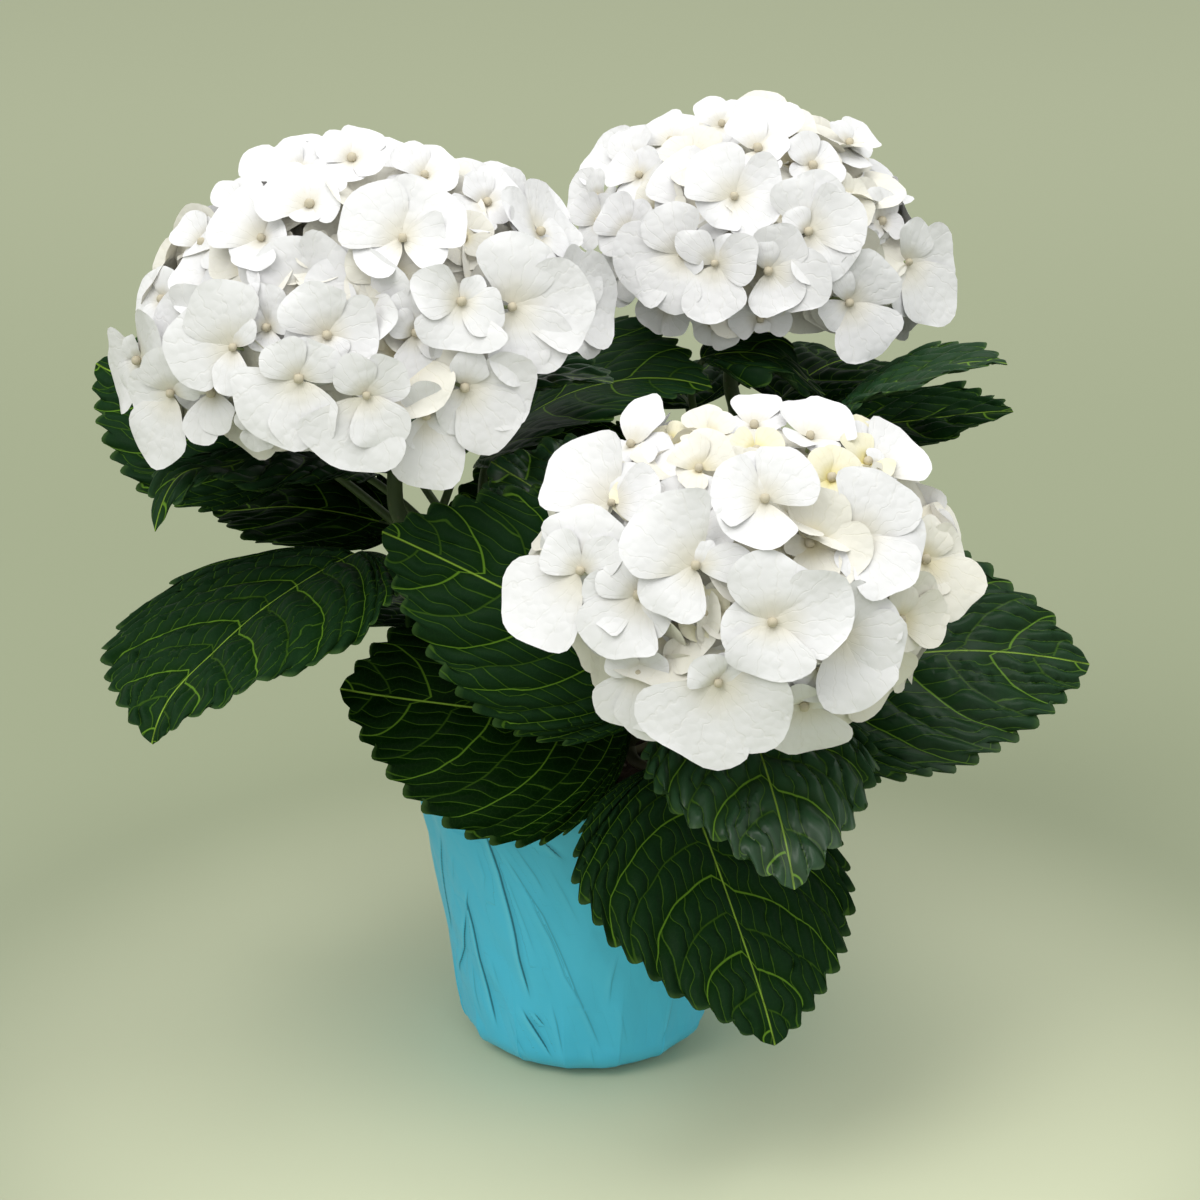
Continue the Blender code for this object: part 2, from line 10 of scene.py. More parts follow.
import bpy
import numpy as np
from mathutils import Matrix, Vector


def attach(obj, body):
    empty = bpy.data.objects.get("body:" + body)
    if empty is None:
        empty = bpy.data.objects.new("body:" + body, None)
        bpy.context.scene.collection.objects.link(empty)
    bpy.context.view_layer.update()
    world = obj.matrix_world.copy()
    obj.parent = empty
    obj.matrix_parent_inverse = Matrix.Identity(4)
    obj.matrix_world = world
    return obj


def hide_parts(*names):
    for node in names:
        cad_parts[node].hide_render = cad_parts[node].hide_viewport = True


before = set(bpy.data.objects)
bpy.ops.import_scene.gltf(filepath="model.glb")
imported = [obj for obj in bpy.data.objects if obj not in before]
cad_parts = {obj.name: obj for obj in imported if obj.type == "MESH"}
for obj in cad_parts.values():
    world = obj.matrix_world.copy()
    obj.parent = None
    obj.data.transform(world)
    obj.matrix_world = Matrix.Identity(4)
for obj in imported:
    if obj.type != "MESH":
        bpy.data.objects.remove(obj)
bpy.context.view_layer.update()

# ---- Sizes of the solids, as the source has them -----------------------------------------
GAP = 0.0003  # between pot, film, soil and the feet of the stems
NODE_GAP = 0.0008  # between a stem and the stalk of a leaf
FILM = 0.0008  # thickness
POT_WALL = 0.0018
RIM_RADIUS = 0.0680
FOOT_RADIUS = 0.0462
FOOT_ROUND = 0.0150
RIM_HEIGHT = 0.1280
SOIL_TOP = RIM_HEIGHT - 0.0140
STEM_FOOT_RADIUS = 0.0048
STEM_TOP_RADIUS = 0.0034
FLARE = 1.35  # of a stem at its foot
STALK_RADIUS = 0.0023  # of a leaf
GOLDEN = math.pi * (3 - math.sqrt(5))  # the golden angle
SHOULDER = 0.10  # how far a head is drawn in between its top and its widest ring
WIDEST_A, WIDEST_B = 0.55, 0.85  # set where a leaf is widest and how blunt its ends are
LATERAL_FOOT = 0.30  # share of the margin whose side veins all start at the leaf's base

# ---- Sizes of the finer forms ------------------------------------------------------------
BLADE = 0.00050  # thickness of a leaf
TOOTH_PITCH = 0.0094  # along the margin
TOOTH_DEPTH = 0.0040
TOOTH_ROWS = 8  # rows of points to a tooth
BLADE_COLUMNS = 43  # points in a row, from margin to margin
QUILT = 0.0032  # rise of the blade between its side veins
VEINS_PER_TOOTH = 0.45
RUNG = 0.0052  # spacing of the small veins that join the side veins
RUNG_SHIFT = 0.618  # share of that by which they start further out from field to field
GROOVE = 0.0005  # depth of the midrib's groove
SPINE = 0.0012  # how far the midrib stands out underneath
SPUR = 0.0003  # how far the side veins do
RUFFLE = 0.0012  # height of the soft waves along the margin
SEPAL = 0.00035  # thickness of a sepal
SEPAL_STEPS = 7  # steps of its grid of points, each way
BUD_RINGS, BUD_SIDES = 6, 8  # points of the ball in the middle of a floret
CREASE = 0.0009  # how far the film climbs over a full crease
FULL_TURN = 6.28  # the starts of waves are drawn from it

# Each stem: foot on the soil, top under its head, sideways bow of its middle.
STEMS = {
    "left": {"foot": (-0.014, 0.006), "top": (-0.065, 0.002, 0.212), "bow": (0.016, 0.0)},
    "right": {"foot": (0.014, 0.014), "top": (0.058, 0.074, 0.226), "bow": (-0.010, -0.012)},
    "front": {"foot": (0.006, -0.014), "top": (0.043, -0.047, 0.166), "bow": (-0.006, 0.006)},
}

# Each head: middle of its dome, radii across, away and up its axis, lean in degrees, how far
# down from its top the florets reach in degrees, how many there are and how large, and whether
# those on its top are young.
HEADS = {
    "left": {
        "middle": (-0.085, 0.006, 0.293), "radii": (0.085, 0.079, 0.069), "lean": (-15, 6),
        "skirt": 102, "florets": 72, "size": 0.0222, "young": False, "seed": 11,
    },
    "right": {
        "middle": (0.068, 0.090, 0.290), "radii": (0.068, 0.066, 0.060), "lean": (14, -8),
        "skirt": 98, "florets": 48, "size": 0.0208, "young": False, "seed": 12,
    },
    "front": {
        "middle": (0.059, -0.088, 0.228), "radii": (0.079, 0.067, 0.058), "lean": (8, 32),
        "skirt": 102, "florets": 56, "size": 0.0216, "young": True, "seed": 13,
    },
}

# Each leaf: the stem it grows on and how far up, where its blade begins (x, y, z) and ends,
# its width, its roll and fold in degrees, the rise of its midrib, the fall of its margins and
# of its tip, its sweep sideways, the swell between its veins, and its share of painted light,
# a painted sheen that also sets its gloss. A leaf with a dash there draws that by its seed.
LEAF_ROWS = """
left_low          left  .60 -.087 -.012 .210 -.155 -.114 .179 .118 -10 12 .02 .22 -.07  .10 1.20 .25
left_curled       left  .88 -.083  .021 .229 -.158 -.048 .234 .064  -7  5 .14 .26 -.26  .10 1.20 .35
left_far          left  .80 -.106  .043 .227 -.193  .079 .252 .092  36  9 .06 .08  .05 -.03  .70   -
left_shaded       left  .62 -.072  .045 .196 -.148  .063 .196 .064  12  8 .07 .10  .07  .00  .70 .00
middle_small      left  .97 -.036  .030 .258  .011  .000 .274 .042   0 10 .08 .12  .02 -.01 1.60 .80
middle_large      left  .75 -.040  .058 .222  .049  .034 .259 .098 -10 10 .13 .06 -.02 -.05  .40 .40
middle_shaded     right .62  .038  .080 .192 -.056  .080 .188 .074  60  5 .05 .08  .04  .00  .70 .00
front_left_up     front .96  .009 -.030 .217 -.035 -.012 .247 .076  24  4 .07 .09  .02  .01 1.90 .85
front_left        front .76  .036 -.063 .182 -.074 -.055 .237 .096  70  1 .06 .12  .08  .01  .75 .25
front_low_left    front .40  .018 -.041 .151 -.092 -.042 .167 .109  51 10 .06 .04  .03 -.02  .45 .00
front_right       front .76  .069 -.044 .168  .191 -.033 .173 .104 -38  4 .11 .10  .02 -.03 1.15 .45
front_under       front .96  .056 -.064 .173  .075 -.152 .140 .088  -1  5 .12 .16 -.03  .00 1.35 .80
front_hanging     front .40  .035 -.045 .138  .070 -.134 .066 .115   7  2 .03 .12 -.02  .00 1.00 .24
right_inner       right .92  .045  .054 .264  .094  .060 .246 .050  -2  7 .17 .20  .11  .00  .70 .30
right_shaded      right .60  .070  .040 .222  .030 -.014 .232 .070   0  4 .06 .10  .06  .00  .70   -
right_upper       right .92  .096  .024 .252  .159  .004 .280 .064   3  9 .09 .11 -.04  .00 1.00 .50
right_lower       right .70  .084  .056 .232  .165  .032 .250 .079  -2  5 .01 .11 -.02  .01 1.20 .20
back_left_low     left  .36 -.050  .032 .160 -.112  .104 .126 .088  -6  5 .10 .12  .05  .00  .70   -
back_left_up      left  .68 -.066  .056 .214 -.110  .130 .208 .084  -6  5 .12 .12  .05  .00  .70   -
back_low          right .30  .004  .048 .150 -.030  .136 .122 .090   0  5 .12 .12  .05  .00  .70   -
back_right_low    right .30  .054  .044 .150  .100  .118 .118 .088   0  5 .12 .12  .05  .00  .70   -
back_right_middle right .52  .066  .068 .194  .132  .128 .172 .086   6  5 .12 .12  .05  .00  .70   -
back_up           right .80  .044  .098 .226  .004  .170 .208 .082   0  5 .12 .12  .05  .00  .70   -
back_right_up     right .80  .078  .100 .228  .128  .168 .216 .082   0  5 .12 .12  .05  .00  .70   -
side_right        right .44  .064  .020 .186  .138  .000 .176 .076  -8  5 .10 .10  .04  .00  .70   -
side_right_low    front .24  .042 -.006 .136  .132  .016 .122 .084  -8  5 .10 .10  .04  .00  .70   -
"""
LEAF_COLUMNS = ("width", "roll", "fold", "arch", "droop", "curl", "sweep", "quilt", "tone")
RUFFLED = {"front_left_up": 1.5, "right_inner": 2.6}  # leaves with stronger waves


def leaf_table():
    """The rows above, as the numbers of each leaf by their names."""
    leaves = {}
    for row in LEAF_ROWS.strip().splitlines():
        name, stem, *cells = row.split()
        node, *numbers = (float("nan" if cell == "-" else cell) for cell in cells)
        leaves[name] = dict(zip(LEAF_COLUMNS, numbers[6:]), stem=stem, node=node)
        leaves[name].update(base=numbers[:3], tip=numbers[3:6], ruffle=RUFFLED.get(name, 1.0))
    return leaves


LEAVES = leaf_table()

# ---- Paints --------------------------------------------------------------------------------
# Colours of a leaf: its fields from dark to middle and then lit, a painted sheen on their
# middles, the lines on it and its margin, then its underside and the veins there.
LEAF_DEEP = (0.0012, 0.0085, 0.0006, 1)
LEAF_MIDDLE = (0.0024, 0.0140, 0.0013, 1)
LEAF_LIT = (0.0270, 0.0760, 0.0330, 1)
LEAF_NEAR_VEINS = (0.010, 0.046, 0.003, 1)
LEAF_NET = (0.030, 0.080, 0.014, 1)
LEAF_SMALL_VEINS = (0.090, 0.195, 0.016, 1)
LEAF_SIDE_VEINS = (0.135, 0.275, 0.022, 1)
LEAF_MIDRIB = (0.240, 0.400, 0.045, 1)
LEAF_MARGIN = (0.060, 0.120, 0.030, 1)
LEAF_BELOW = (0.022, 0.050, 0.016, 1)
LEAF_BELOW_VEINS = (0.070, 0.110, 0.038, 1)

# Colours of the film: two that it is clouded with, then a painted highlight over a lap,
# painted shade under it and a line of painted shade along it.
FILM_DARK = (0.056, 0.520, 0.790, 1)
FILM_LIGHT = (0.084, 0.595, 0.880, 1)
FILM_CREST_HIGHLIGHT = (0.170, 0.680, 0.860, 1)
FILM_SHADED = (0.020, 0.260, 0.400, 1)
FILM_CREASE_SHADE = (0.006, 0.140, 0.210, 1)

# Each kind of floret, and last the bud in its middle: colours of its body, of its heart, a
# tint that is also darkened there as painted shade, and of its rim, paler as a painted
# highlight. The cream kind is also given to sunk florets as painted shade.
PETALS = {
    "petal_white": ((0.785, 0.780, 0.785, 1), (0.690, 0.650, 0.525, 1), (0.870, 0.870, 0.885, 1)),
    "petal_cream_and_shade": ((0.785, 0.760, 0.670, 1), (0.730, 0.655, 0.420, 1), (0.850, 0.835, 0.790, 1)),
    "petal_young": ((0.820, 0.775, 0.570, 1), (0.800, 0.700, 0.260, 1), (0.850, 0.830, 0.720, 1)),
    "flower_bud": ((0.560, 0.500, 0.370, 1), (0.520, 0.470, 0.330, 1), (0.600, 0.550, 0.430, 1)),
}
WHITE, CREAM_AND_SHADE, YOUNG, BUD = range(4)

# Colours of the floor: two that it is clouded with, then painted light far behind, near the
# front and round the pot, where it pales the plant's shade.
FLOOR_DARK = (0.312, 0.343, 0.228, 1)
FLOOR_LIGHT = (0.325, 0.357, 0.238, 1)
FLOOR_PAINTED_LIGHT_FAR = (0.385, 0.415, 0.285, 1)
FLOOR_PAINTED_LIGHT_NEAR = (0.330, 0.360, 0.252, 1)
FLOOR_PAINTED_LIGHT_AT_POT = (0.720, 0.745, 0.530, 1)


class Value:
    """A number that varies over a surface. It wraps a node's output, so that sums and products
    of such numbers are written as formulas."""

    def __init__(self, paint, socket):
        self.paint = paint
        self.socket = socket

    def maths(self, operation, first, second=0.0):
        return self.paint.node("Math", {"operation": operation}, {0: first, 1: second})

    def __add__(self, other):
        return self.maths("ADD", self, other)

    def __sub__(self, other):
        return self.maths("SUBTRACT", self, other)

    def __rsub__(self, other):
        return self.maths("SUBTRACT", other, self)

    def __mul__(self, other):
        return self.maths("MULTIPLY", self, other)

    def __truediv__(self, other):
        return self.maths("DIVIDE", self, other)

    def __abs__(self):
        return self.maths("ABSOLUTE", self)

    def floor(self):
        return self.maths("FLOOR", self)

    def between(self):
        """Distance from the nearest whole number, from 0 on it to 0.5 midway."""
        return abs(self - self.maths("ROUND", self))

    __radd__ = __add__
    __rmul__ = __mul__


class Paint:
    """One finish, worked out by its own nodes. The constants name sockets of its shader, with
    _ for each space."""

    def __init__(self, name, **constants):
        self.finish = bpy.data.materials.new(name)
        self.finish.use_nodes = True
        self.tree = self.finish.node_tree
        self.shader = self.tree.nodes["Principled BSDF"]
        for socket, value in constants.items():
            self.shader.inputs[socket.replace("_", " ")].default_value = value

    def node(self, kind, settings, sockets, output=0):
        """A node of that kind: its settings first, then each socket's value or link."""
        made = self.tree.nodes.new("ShaderNode" + kind)
        for name, value in settings.items():
            setattr(made, name, value)
        for name, value in sockets.items():
            if isinstance(value, Value):
                self.tree.links.new(value.socket, made.inputs[name])
            else:
                made.inputs[name].default_value = value
        return Value(self, made.outputs[output])

    def place(self):
        """The point on the piece itself, in metres."""
        return self.node("TexCoord", {}, {}, "Object")

    def noise(self, where, scale, detail=2.0, roughness=0.5):
        sockets = {"Vector": where, "Scale": scale, "Detail": detail, "Roughness": roughness}
        return self.node("TexNoise", {}, sockets, "Fac")

    def cells(self, where, scale):
        """Distance to the nearest of the points that are scattered over space."""
        return self.node("TexVoronoi", {"feature": "F1"}, {"Vector": where, "Scale": scale})

    def net(self, where, scale):
        """Distance to the edges of the cells of a flat net."""
        settings = {"voronoi_dimensions": "2D", "feature": "DISTANCE_TO_EDGE"}
        return self.node("TexVoronoi", settings, {"Vector": where, "Scale": scale})

    def step(self, value, low, high, start=0.0, end=1.0):
        """Goes smoothly from start to end as the value goes from low to high."""
        sockets = {0: value, 1: low, 2: high, 3: start, 4: end}
        return self.node("MapRange", {"interpolation_type": "SMOOTHSTEP"}, sockets)

    def mix(self, share, first, second):
        """The first colour where the share is 0, the second where it is 1."""
        sockets = {0: share, 6: first, 7: second}
        return self.node("Mix", {"data_type": "RGBA"}, sockets, 2)

    def parts(self, vector):
        """Its three numbers."""
        split = self.node("SeparateXYZ", {}, {0: vector})
        outputs = split.socket.node.outputs
        return [Value(self, outputs[i]) for i in range(3)]

    def map(self, name):
        """The two numbers of one of the piece's own maps, and a zero."""
        return self.parts(self.node("UVMap", {"uv_map": name}, {}))

    def vector(self, x, y, z):
        return self.node("CombineXYZ", {}, {0: x, 1: y, 2: z})

    def bump(self, height, distance, strength=1.0):
        sockets = {"Height": height, "Distance": distance, "Strength": strength}
        return self.node("Bump", {}, sockets)

    def done(self, **links):
        """The finish, with those values linked to its shader."""
        for socket, value in links.items():
            self.tree.links.new(value.socket, self.shader.inputs[socket.replace("_", " ")])
        return self.finish


def leaf_paint():
    """Waxy dark green with thin yellow-green veins: the midrib, the side veins, a fainter vein
    midway between them, the rungs that join them and a faint net. The fields between the veins
    swell, and the more painted light a leaf is given, the more their middles are lightened as a
    painted sheen, and the glossier its coat. Underneath the leaf is dull and pale."""
    p = Paint("leaf", IOR=1.40, Specular_IOR_Level=0.03, Coat_Roughness=0.30, Coat_IOR=1.45)
    phase, rib, _ = p.map("veins")
    across, along, _ = p.map("blade")
    # The first number of this map is the leaf's share of painted light: it lightens the middles of
    # the fields as a painted sheen, makes the veins show more and sets the coat. The second is 1
    # underneath.
    tone, under, _ = p.map("tone")
    edge, relief, _ = p.map("margin")
    flat = p.vector(across, along, 0.0)
    lateral = phase.between()
    middle = (phase * 2).between()
    rung = (rib / RUNG + (phase * 2).floor() * RUNG_SHIFT).between()
    midrib = p.step(abs(across), 0.00018, 0.00052, 1.0, 0.0)
    side = p.step(lateral * (1 + rib * 10.0), 0.006, 0.021, 1.0, 0.0)
    lines = p.step(middle, 0.010, 0.038, 0.7, 0.0)
    lines = lines.maths("MAXIMUM", lines, p.step(rung, 0.012, 0.046, 1.0, 0.0))
    web = p.step(p.net(flat, 420.0), 0.01, 0.07, 1.0, 0.0)
    blotch = p.noise(flat, 45.0, 2.0)
    fields = (0.35 + lateral * (1 - lateral) * 2.6) * (0.25 + middle * (1 - middle) * 3.0)
    fields = fields * (0.35 + rung * (1 - rung) * 2.6)
    deep = p.mix(blotch, LEAF_DEEP, LEAF_MIDDLE)
    # Painted sheen: the middles of the fields are lightened towards LEAF_LIT by the leaf's share of
    # painted light.
    deep = p.mix(tone * p.step(fields, 0.0, 0.55, 0.25, 1.0), deep, LEAF_LIT)
    near = p.step(fields, 0.0, 0.9, 1.0, 0.0) * (0.16 + tone * 0.4)
    green = p.mix(near, deep, LEAF_NEAR_VEINS)
    green = p.mix(web * 0.10, green, LEAF_NET)
    green = p.mix(lines * (0.36 + tone * 0.28), green, LEAF_SMALL_VEINS)
    green = p.mix(side * (0.54 + tone * 0.36), green, LEAF_SIDE_VEINS)
    green = p.mix(midrib * 0.90, green, LEAF_MIDRIB)
    green = p.mix(p.step(edge, 0.95, 1.0) * 0.45, green, LEAF_MARGIN)
    below = p.mix(side * 0.6 + web * 0.3, LEAF_BELOW, LEAF_BELOW_VEINS)
    colour = p.mix(under, green, below)
    rough = 0.40 + blotch * 0.12 + side * 0.10 + under * 0.26
    height = fields + blotch * 0.15 - midrib * 0.4
    normal = p.bump(height * relief, 0.0013, 1.0)
    wax = p.step(tone, 0.18, 0.9, 0.0, 0.75) * relief * (1 - under)
    return p.done(Base_Color=colour, Roughness=rough, Coat_Weight=wax, Normal=normal)


def petal_paint(name, body, heart, rim):
    """Matte petal: its body colour, clouded at random towards a paler colour that also lightens
    its rim as a painted highlight, a tinted claw that is also darkened as painted shade, faint
    veins that fan out from the claw, and a puckered skin."""
    p = Paint(name, IOR=1.38, Specular_IOR_Level=0.28)
    across, along, _ = p.map("sepal")
    where = p.place()
    cloud = p.noise(where, 60.0, 1.0)
    pucker = p.noise(where, 260.0, 1.0)
    fan = (across * 2.6 / (along + 0.45) + pucker * 0.9).between()
    vein = p.step(fan, 0.0, 0.09, 1.0, 0.0)
    # Towards the rim the petal is lightened as a painted highlight.
    edge = p.step(along, 0.60, 1.0)
    colour = p.mix(cloud * 0.4 + edge * 0.3, body, rim)
    # The claw's tint is also darkened as painted shade.
    claw = p.step(along + abs(across) * 0.20, 0.0, 0.55, 0.85, 0.0)
    colour = p.mix(claw, colour, heart)
    colour = p.mix(vein * 0.08, colour, heart)
    height = p.step(p.cells(where, 270.0), 0.1, 0.75, 0.7, 0.0) - vein * 0.35 + pucker * 0.2
    normal = p.bump(height, 0.00045, 0.42)
    rough = 0.50 + cloud * 0.14
    return p.done(Base_Color=colour, Roughness=rough, Normal=normal)


def stalk_paint():
    """Green stem skin: streaked along its height, browner near the soil, with small pores."""
    p = Paint("stalk", IOR=1.42)
    where = p.place()
    _, _, height = p.parts(where)
    streak = p.noise(where, 180.0, 3.0)
    pore = p.step(p.cells(where, 300.0), 0.10, 0.22, 1.0, 0.0)
    low = p.step(height, SOIL_TOP, SOIL_TOP + 0.045, 1.0, 0.0)
    green = p.mix(streak, (0.022, 0.048, 0.010, 1), (0.060, 0.095, 0.024, 1))
    wood = p.mix(streak, (0.070, 0.050, 0.026, 1), (0.150, 0.110, 0.060, 1))
    colour = p.mix(low * 0.85, green, wood)
    colour = p.mix(pore * 0.35, colour, (0.10, 0.075, 0.045, 1))
    normal = p.bump(streak + pore * 0.5, 0.0004, 0.5)
    rough = 0.46 + streak * 0.15 + low * 0.2
    return p.done(Base_Color=colour, Roughness=rough, Normal=normal)


def twig_paint():
    """Pale green of the thin stalks inside a flower head."""
    p = Paint("flower_stalk", IOR=1.42)
    where = p.place()
    streak = p.noise(where, 220.0, 2.0)
    colour = p.mix(streak, (0.20, 0.27, 0.10, 1), (0.42, 0.47, 0.26, 1))
    return p.done(Base_Color=colour, Roughness=0.5 + streak * 0.1)


def film_paint():
    """Satin turquoise film: a thin line of painted shade along every crease where the film laps
    over itself, painted shade under the lap and a painted highlight along the crest over it,
    with a faint cloudy gloss."""
    p = Paint("film", IOR=1.46)
    away, depth, _ = p.map("crease")
    where = p.place()
    cloud = p.noise(where, 28.0, 3.0)
    grain = p.noise(where, 1400.0, 2.0)
    # A thin line of painted shade along the crease, where the film falls away under the lap.
    line = p.step(abs(away + 0.00012), 0.00014, 0.00036, 1.0, 0.0) * p.step(depth, 0.02, 0.80)
    shade = p.step(away, -0.0030, -0.0002) * p.step(away, -0.0001, 0.0001, 1.0, 0.0) * depth
    # A painted highlight along the crest just over the lap.
    crest_highlight = p.step(away, 0.0002, 0.0007) * p.step(away, 0.0007, 0.0035, 1.0, 0.0) * depth
    colour = p.mix(crest_highlight * 0.40, p.mix(cloud, FILM_DARK, FILM_LIGHT), FILM_CREST_HIGHLIGHT)
    colour = p.mix(shade * 0.30, colour, FILM_SHADED)
    colour = p.mix(line * 0.88, colour, FILM_CREASE_SHADE)
    rough = 0.36 + cloud * 0.14 + line * 0.1
    fold = p.step(away, -0.0003, 0.0003) * depth
    normal = p.bump(grain * 0.05 + cloud * 0.3 + fold, 0.0007, 0.5)
    return p.done(Base_Color=colour, Roughness=rough, Normal=normal)


def pot_paint():
    """Moulded black plastic with a fine grain and dusty patches."""
    p = Paint("pot", IOR=1.46)
    where = p.place()
    grain = p.noise(where, 1600.0, 2.0)
    dust = p.noise(where, 60.0, 4.0)
    colour = p.mix(dust * 0.6, (0.012, 0.013, 0.013, 1), (0.050, 0.046, 0.040, 1))
    normal = p.bump(grain, 0.0002, 0.4)
    return p.done(Base_Color=colour, Roughness=0.42 + dust * 0.2, Normal=normal)


def soil_paint():
    """Damp peat: brown crumbs of several darknesses with pale grains."""
    p = Paint("soil", IOR=1.35)
    where = p.place()
    crumb = p.cells(where, 330.0)
    shade = p.noise(where, 240.0, 4.0, 0.7)
    grain = p.step(p.cells(where, 150.0), 0.10, 0.16, 1.0, 0.0)
    colour = p.mix(shade, (0.010, 0.006, 0.004, 1), (0.060, 0.036, 0.020, 1))
    colour = p.mix(grain * 0.7, colour, (0.30, 0.26, 0.20, 1))
    normal = p.bump(shade - crumb * 0.4, 0.0015, 0.8)
    return p.done(Base_Color=colour, Roughness=0.85 + shade * 0.12, Normal=normal)


def floor_paint():
    """Matte paper in a pale sage with faint clouding, and painted light: paler near the front,
    round the pot, where the plant's shade falls, and far behind.
    """
    p = Paint("backdrop", IOR=1.3, Specular_IOR_Level=0.0)
    where = p.place()
    x, y, _ = p.parts(where)
    cloud = p.noise(where, 1.6, 0.0)
    ring = (x - 0.02) * (x - 0.02) + (y + 0.06) * (y + 0.06)
    colour = p.mix(cloud, FLOOR_DARK, FLOOR_LIGHT)
    # Painted light: paler towards the front, far behind and round the pot.
    colour = p.mix(p.step(y, -0.10, 0.28, 1.0, 0.0), colour, FLOOR_PAINTED_LIGHT_NEAR)
    colour = p.mix(p.step(y, 0.45, 1.30), colour, FLOOR_PAINTED_LIGHT_FAR)
    colour = p.mix(p.step(ring, 0.004, 0.10, 0.8, 0.0), colour, FLOOR_PAINTED_LIGHT_AT_POT)
    return p.done(Base_Color=colour, Roughness=0.9 + cloud * 0.05)


# ---- Pieces --------------------------------------------------------------------------------
class Piece:
    """Surfaces gathered into one object. Each surface brings its points, its four-cornered
    faces, the finish of its faces, and the numbers of its maps at every point."""

    def __init__(self, name, finishes, maps=()):
        self.name = name
        self.finishes = finishes
        self.points, self.faces, self.finish = [], [], []
        self.maps = {m: [] for m in maps}
        self.count = 0

    def add(self, points, faces, finish=0, **maps):
        points = np.asarray(points, float).reshape(-1, 3)
        faces = np.asarray(faces).reshape(-1, 4)
        self.points.append(points)
        self.faces.append(faces + self.count)
        self.finish.append(np.broadcast_to(finish, len(faces)))
        for name, stored in self.maps.items():
            given = np.zeros((len(points), 2)) if name not in maps else maps[name]
            stored.append(np.asarray(given, float).reshape(-1, 2))
        self.count += len(points)

    def made(self, slot, replaces=()):
        """Merges points that meet, splits off the triangles of faces with two corners that
        meet, and hands the mesh over as a piece that rides on the plant's body."""
        points = np.vstack(self.points)
        faces = np.vstack(self.faces)
        finish = np.concatenate(self.finish)
        keys = np.round(points * 1e7).astype(np.int64)
        _, first, merged = np.unique(keys, axis=0, return_index=True, return_inverse=True)
        merged = merged.reshape(-1)
        corners = merged[faces]
        meets = corners == np.roll(corners, -1, axis=1)
        hits = meets.sum(axis=1)
        turn = (np.argmax(meets, axis=1)[:, None] + 1 + np.arange(3)) % 4
        thirds = np.take_along_axis(faces, turn, axis=1)[hits == 1]
        wholes = faces[hits == 0]
        used, corner = np.unique(
            merged[np.concatenate([wholes.ravel(), thirds.ravel()])], return_inverse=True
        )
        split = wholes.size
        mesh = bpy.data.meshes.new(self.name)
        mesh.from_pydata(
            points[first][used].tolist(),
            [],
            corner[:split].reshape(-1, 4).tolist() + corner[split:].reshape(-1, 3).tolist(),
        )
        order = np.concatenate([wholes.ravel(), thirds.ravel()])
        for name, stored in self.maps.items():
            layer = mesh.uv_layers.new(name=name)
            numbers = np.vstack(stored)[order].astype(np.float32)
            layer.uv.foreach_set("vector", numbers.ravel())
        for paint in self.finishes:
            mesh.materials.append(paint)
        kinds = np.concatenate([finish[hits == 0], finish[hits == 1]]).astype(np.int32)
        mesh.polygons.foreach_set("material_index", kinds)
        mesh.shade_smooth()
        mesh.set_sharp_from_angle(angle=math.radians(50))
        obj = bpy.data.objects.new(self.name, mesh)
        bpy.context.scene.collection.objects.link(obj)
        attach(obj, "root")
        if replaces:
            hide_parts(*replaces)
        return obj


def grid(rows, columns):
    """Faces of a grid of points, numbered row by row: each face is turned so that its front
    looks along (step of rows) x (step of columns)."""
    number = np.arange(rows * columns).reshape(rows, columns)
    here, ahead = number[:-1, :-1], number[1:, :-1]
    return np.stack([here, ahead, ahead + 1, here + 1], axis=-1).reshape(-1, 4)


def unit(v):
    """The vectors scaled to a length of 1."""
    return v / np.maximum(np.linalg.norm(v, axis=-1, keepdims=True), 1e-12)


def smooth(value, low, high):
    """3x^2 - 2x^3, with x going from 0 at low to 1 at high."""
    x = np.clip((value - low) / (high - low), 0, 1)
    return x * x * (3 - 2 * x)


def wander(points, size, seed):
    """Smooth heights from -1 to 1 over space: numbers drawn at the corners of cubes of that
    size, blended between the corners by 3x^2 - 2x^3 along each axis."""
    where = np.asarray(points) / size + 1000.0
    cell = np.floor(where).astype(np.int64)
    share = where - cell
    share = share * share * (3 - 2 * share)
    total = np.zeros(where.shape[:-1])
    for corner in np.ndindex(2, 2, 2):
        at = cell + corner
        drawn = at[..., 0] * 73856093 ^ at[..., 1] * 19349663 ^ at[..., 2] * 83492791
        drawn = (drawn ^ seed * 7919) & 0xFFFFFFFF
        drawn = ((drawn ^ drawn >> 15) * 0x2C1B3C6D) & 0xFFFFFFFF
        drawn = ((drawn ^ drawn >> 12) * 0x297A2D39) & 0xFFFFFFFF
        drawn = ((drawn ^ drawn >> 15) & 0xFFFF) / 32767.5 - 1
        weight = np.prod(np.where(corner, share, 1 - share), axis=-1)
        total += drawn * weight
    return total


def tube(path, radius, sides):
    """A closed round tube: ring i is path_i + radius_i (cos(a) u_i + sin(a) v_i), with u and v
    square to the path, and its two ends drawn in to the path. Returns points and faces."""
    path = np.asarray(path, float)
    radius = np.broadcast_to(radius, len(path)).astype(float)
    along = unit(np.gradient(path, axis=0))
    fixed = np.eye(3)[np.argmin(np.abs(path[-1] - path[0]))]
    u = unit(fixed - along * (along @ fixed)[:, None])
    v = np.cross(along, u)
    path = np.vstack([path[:1], path, path[-1:]])
    u, v = (np.vstack([w[:1], w, w[-1:]]) for w in (u, v))
    radius = np.concatenate([[0.0], radius, [0.0]])
    a = 2 * np.pi * np.arange(sides + 1) / sides
    a[-1] = 0.0
    ring = u[:, None] * np.cos(a)[:, None] + v[:, None] * np.sin(a)[:, None]
    points = path[:, None] + ring * radius[:, None, None]
    return points, grid(len(path), sides + 1)[:, ::-1]


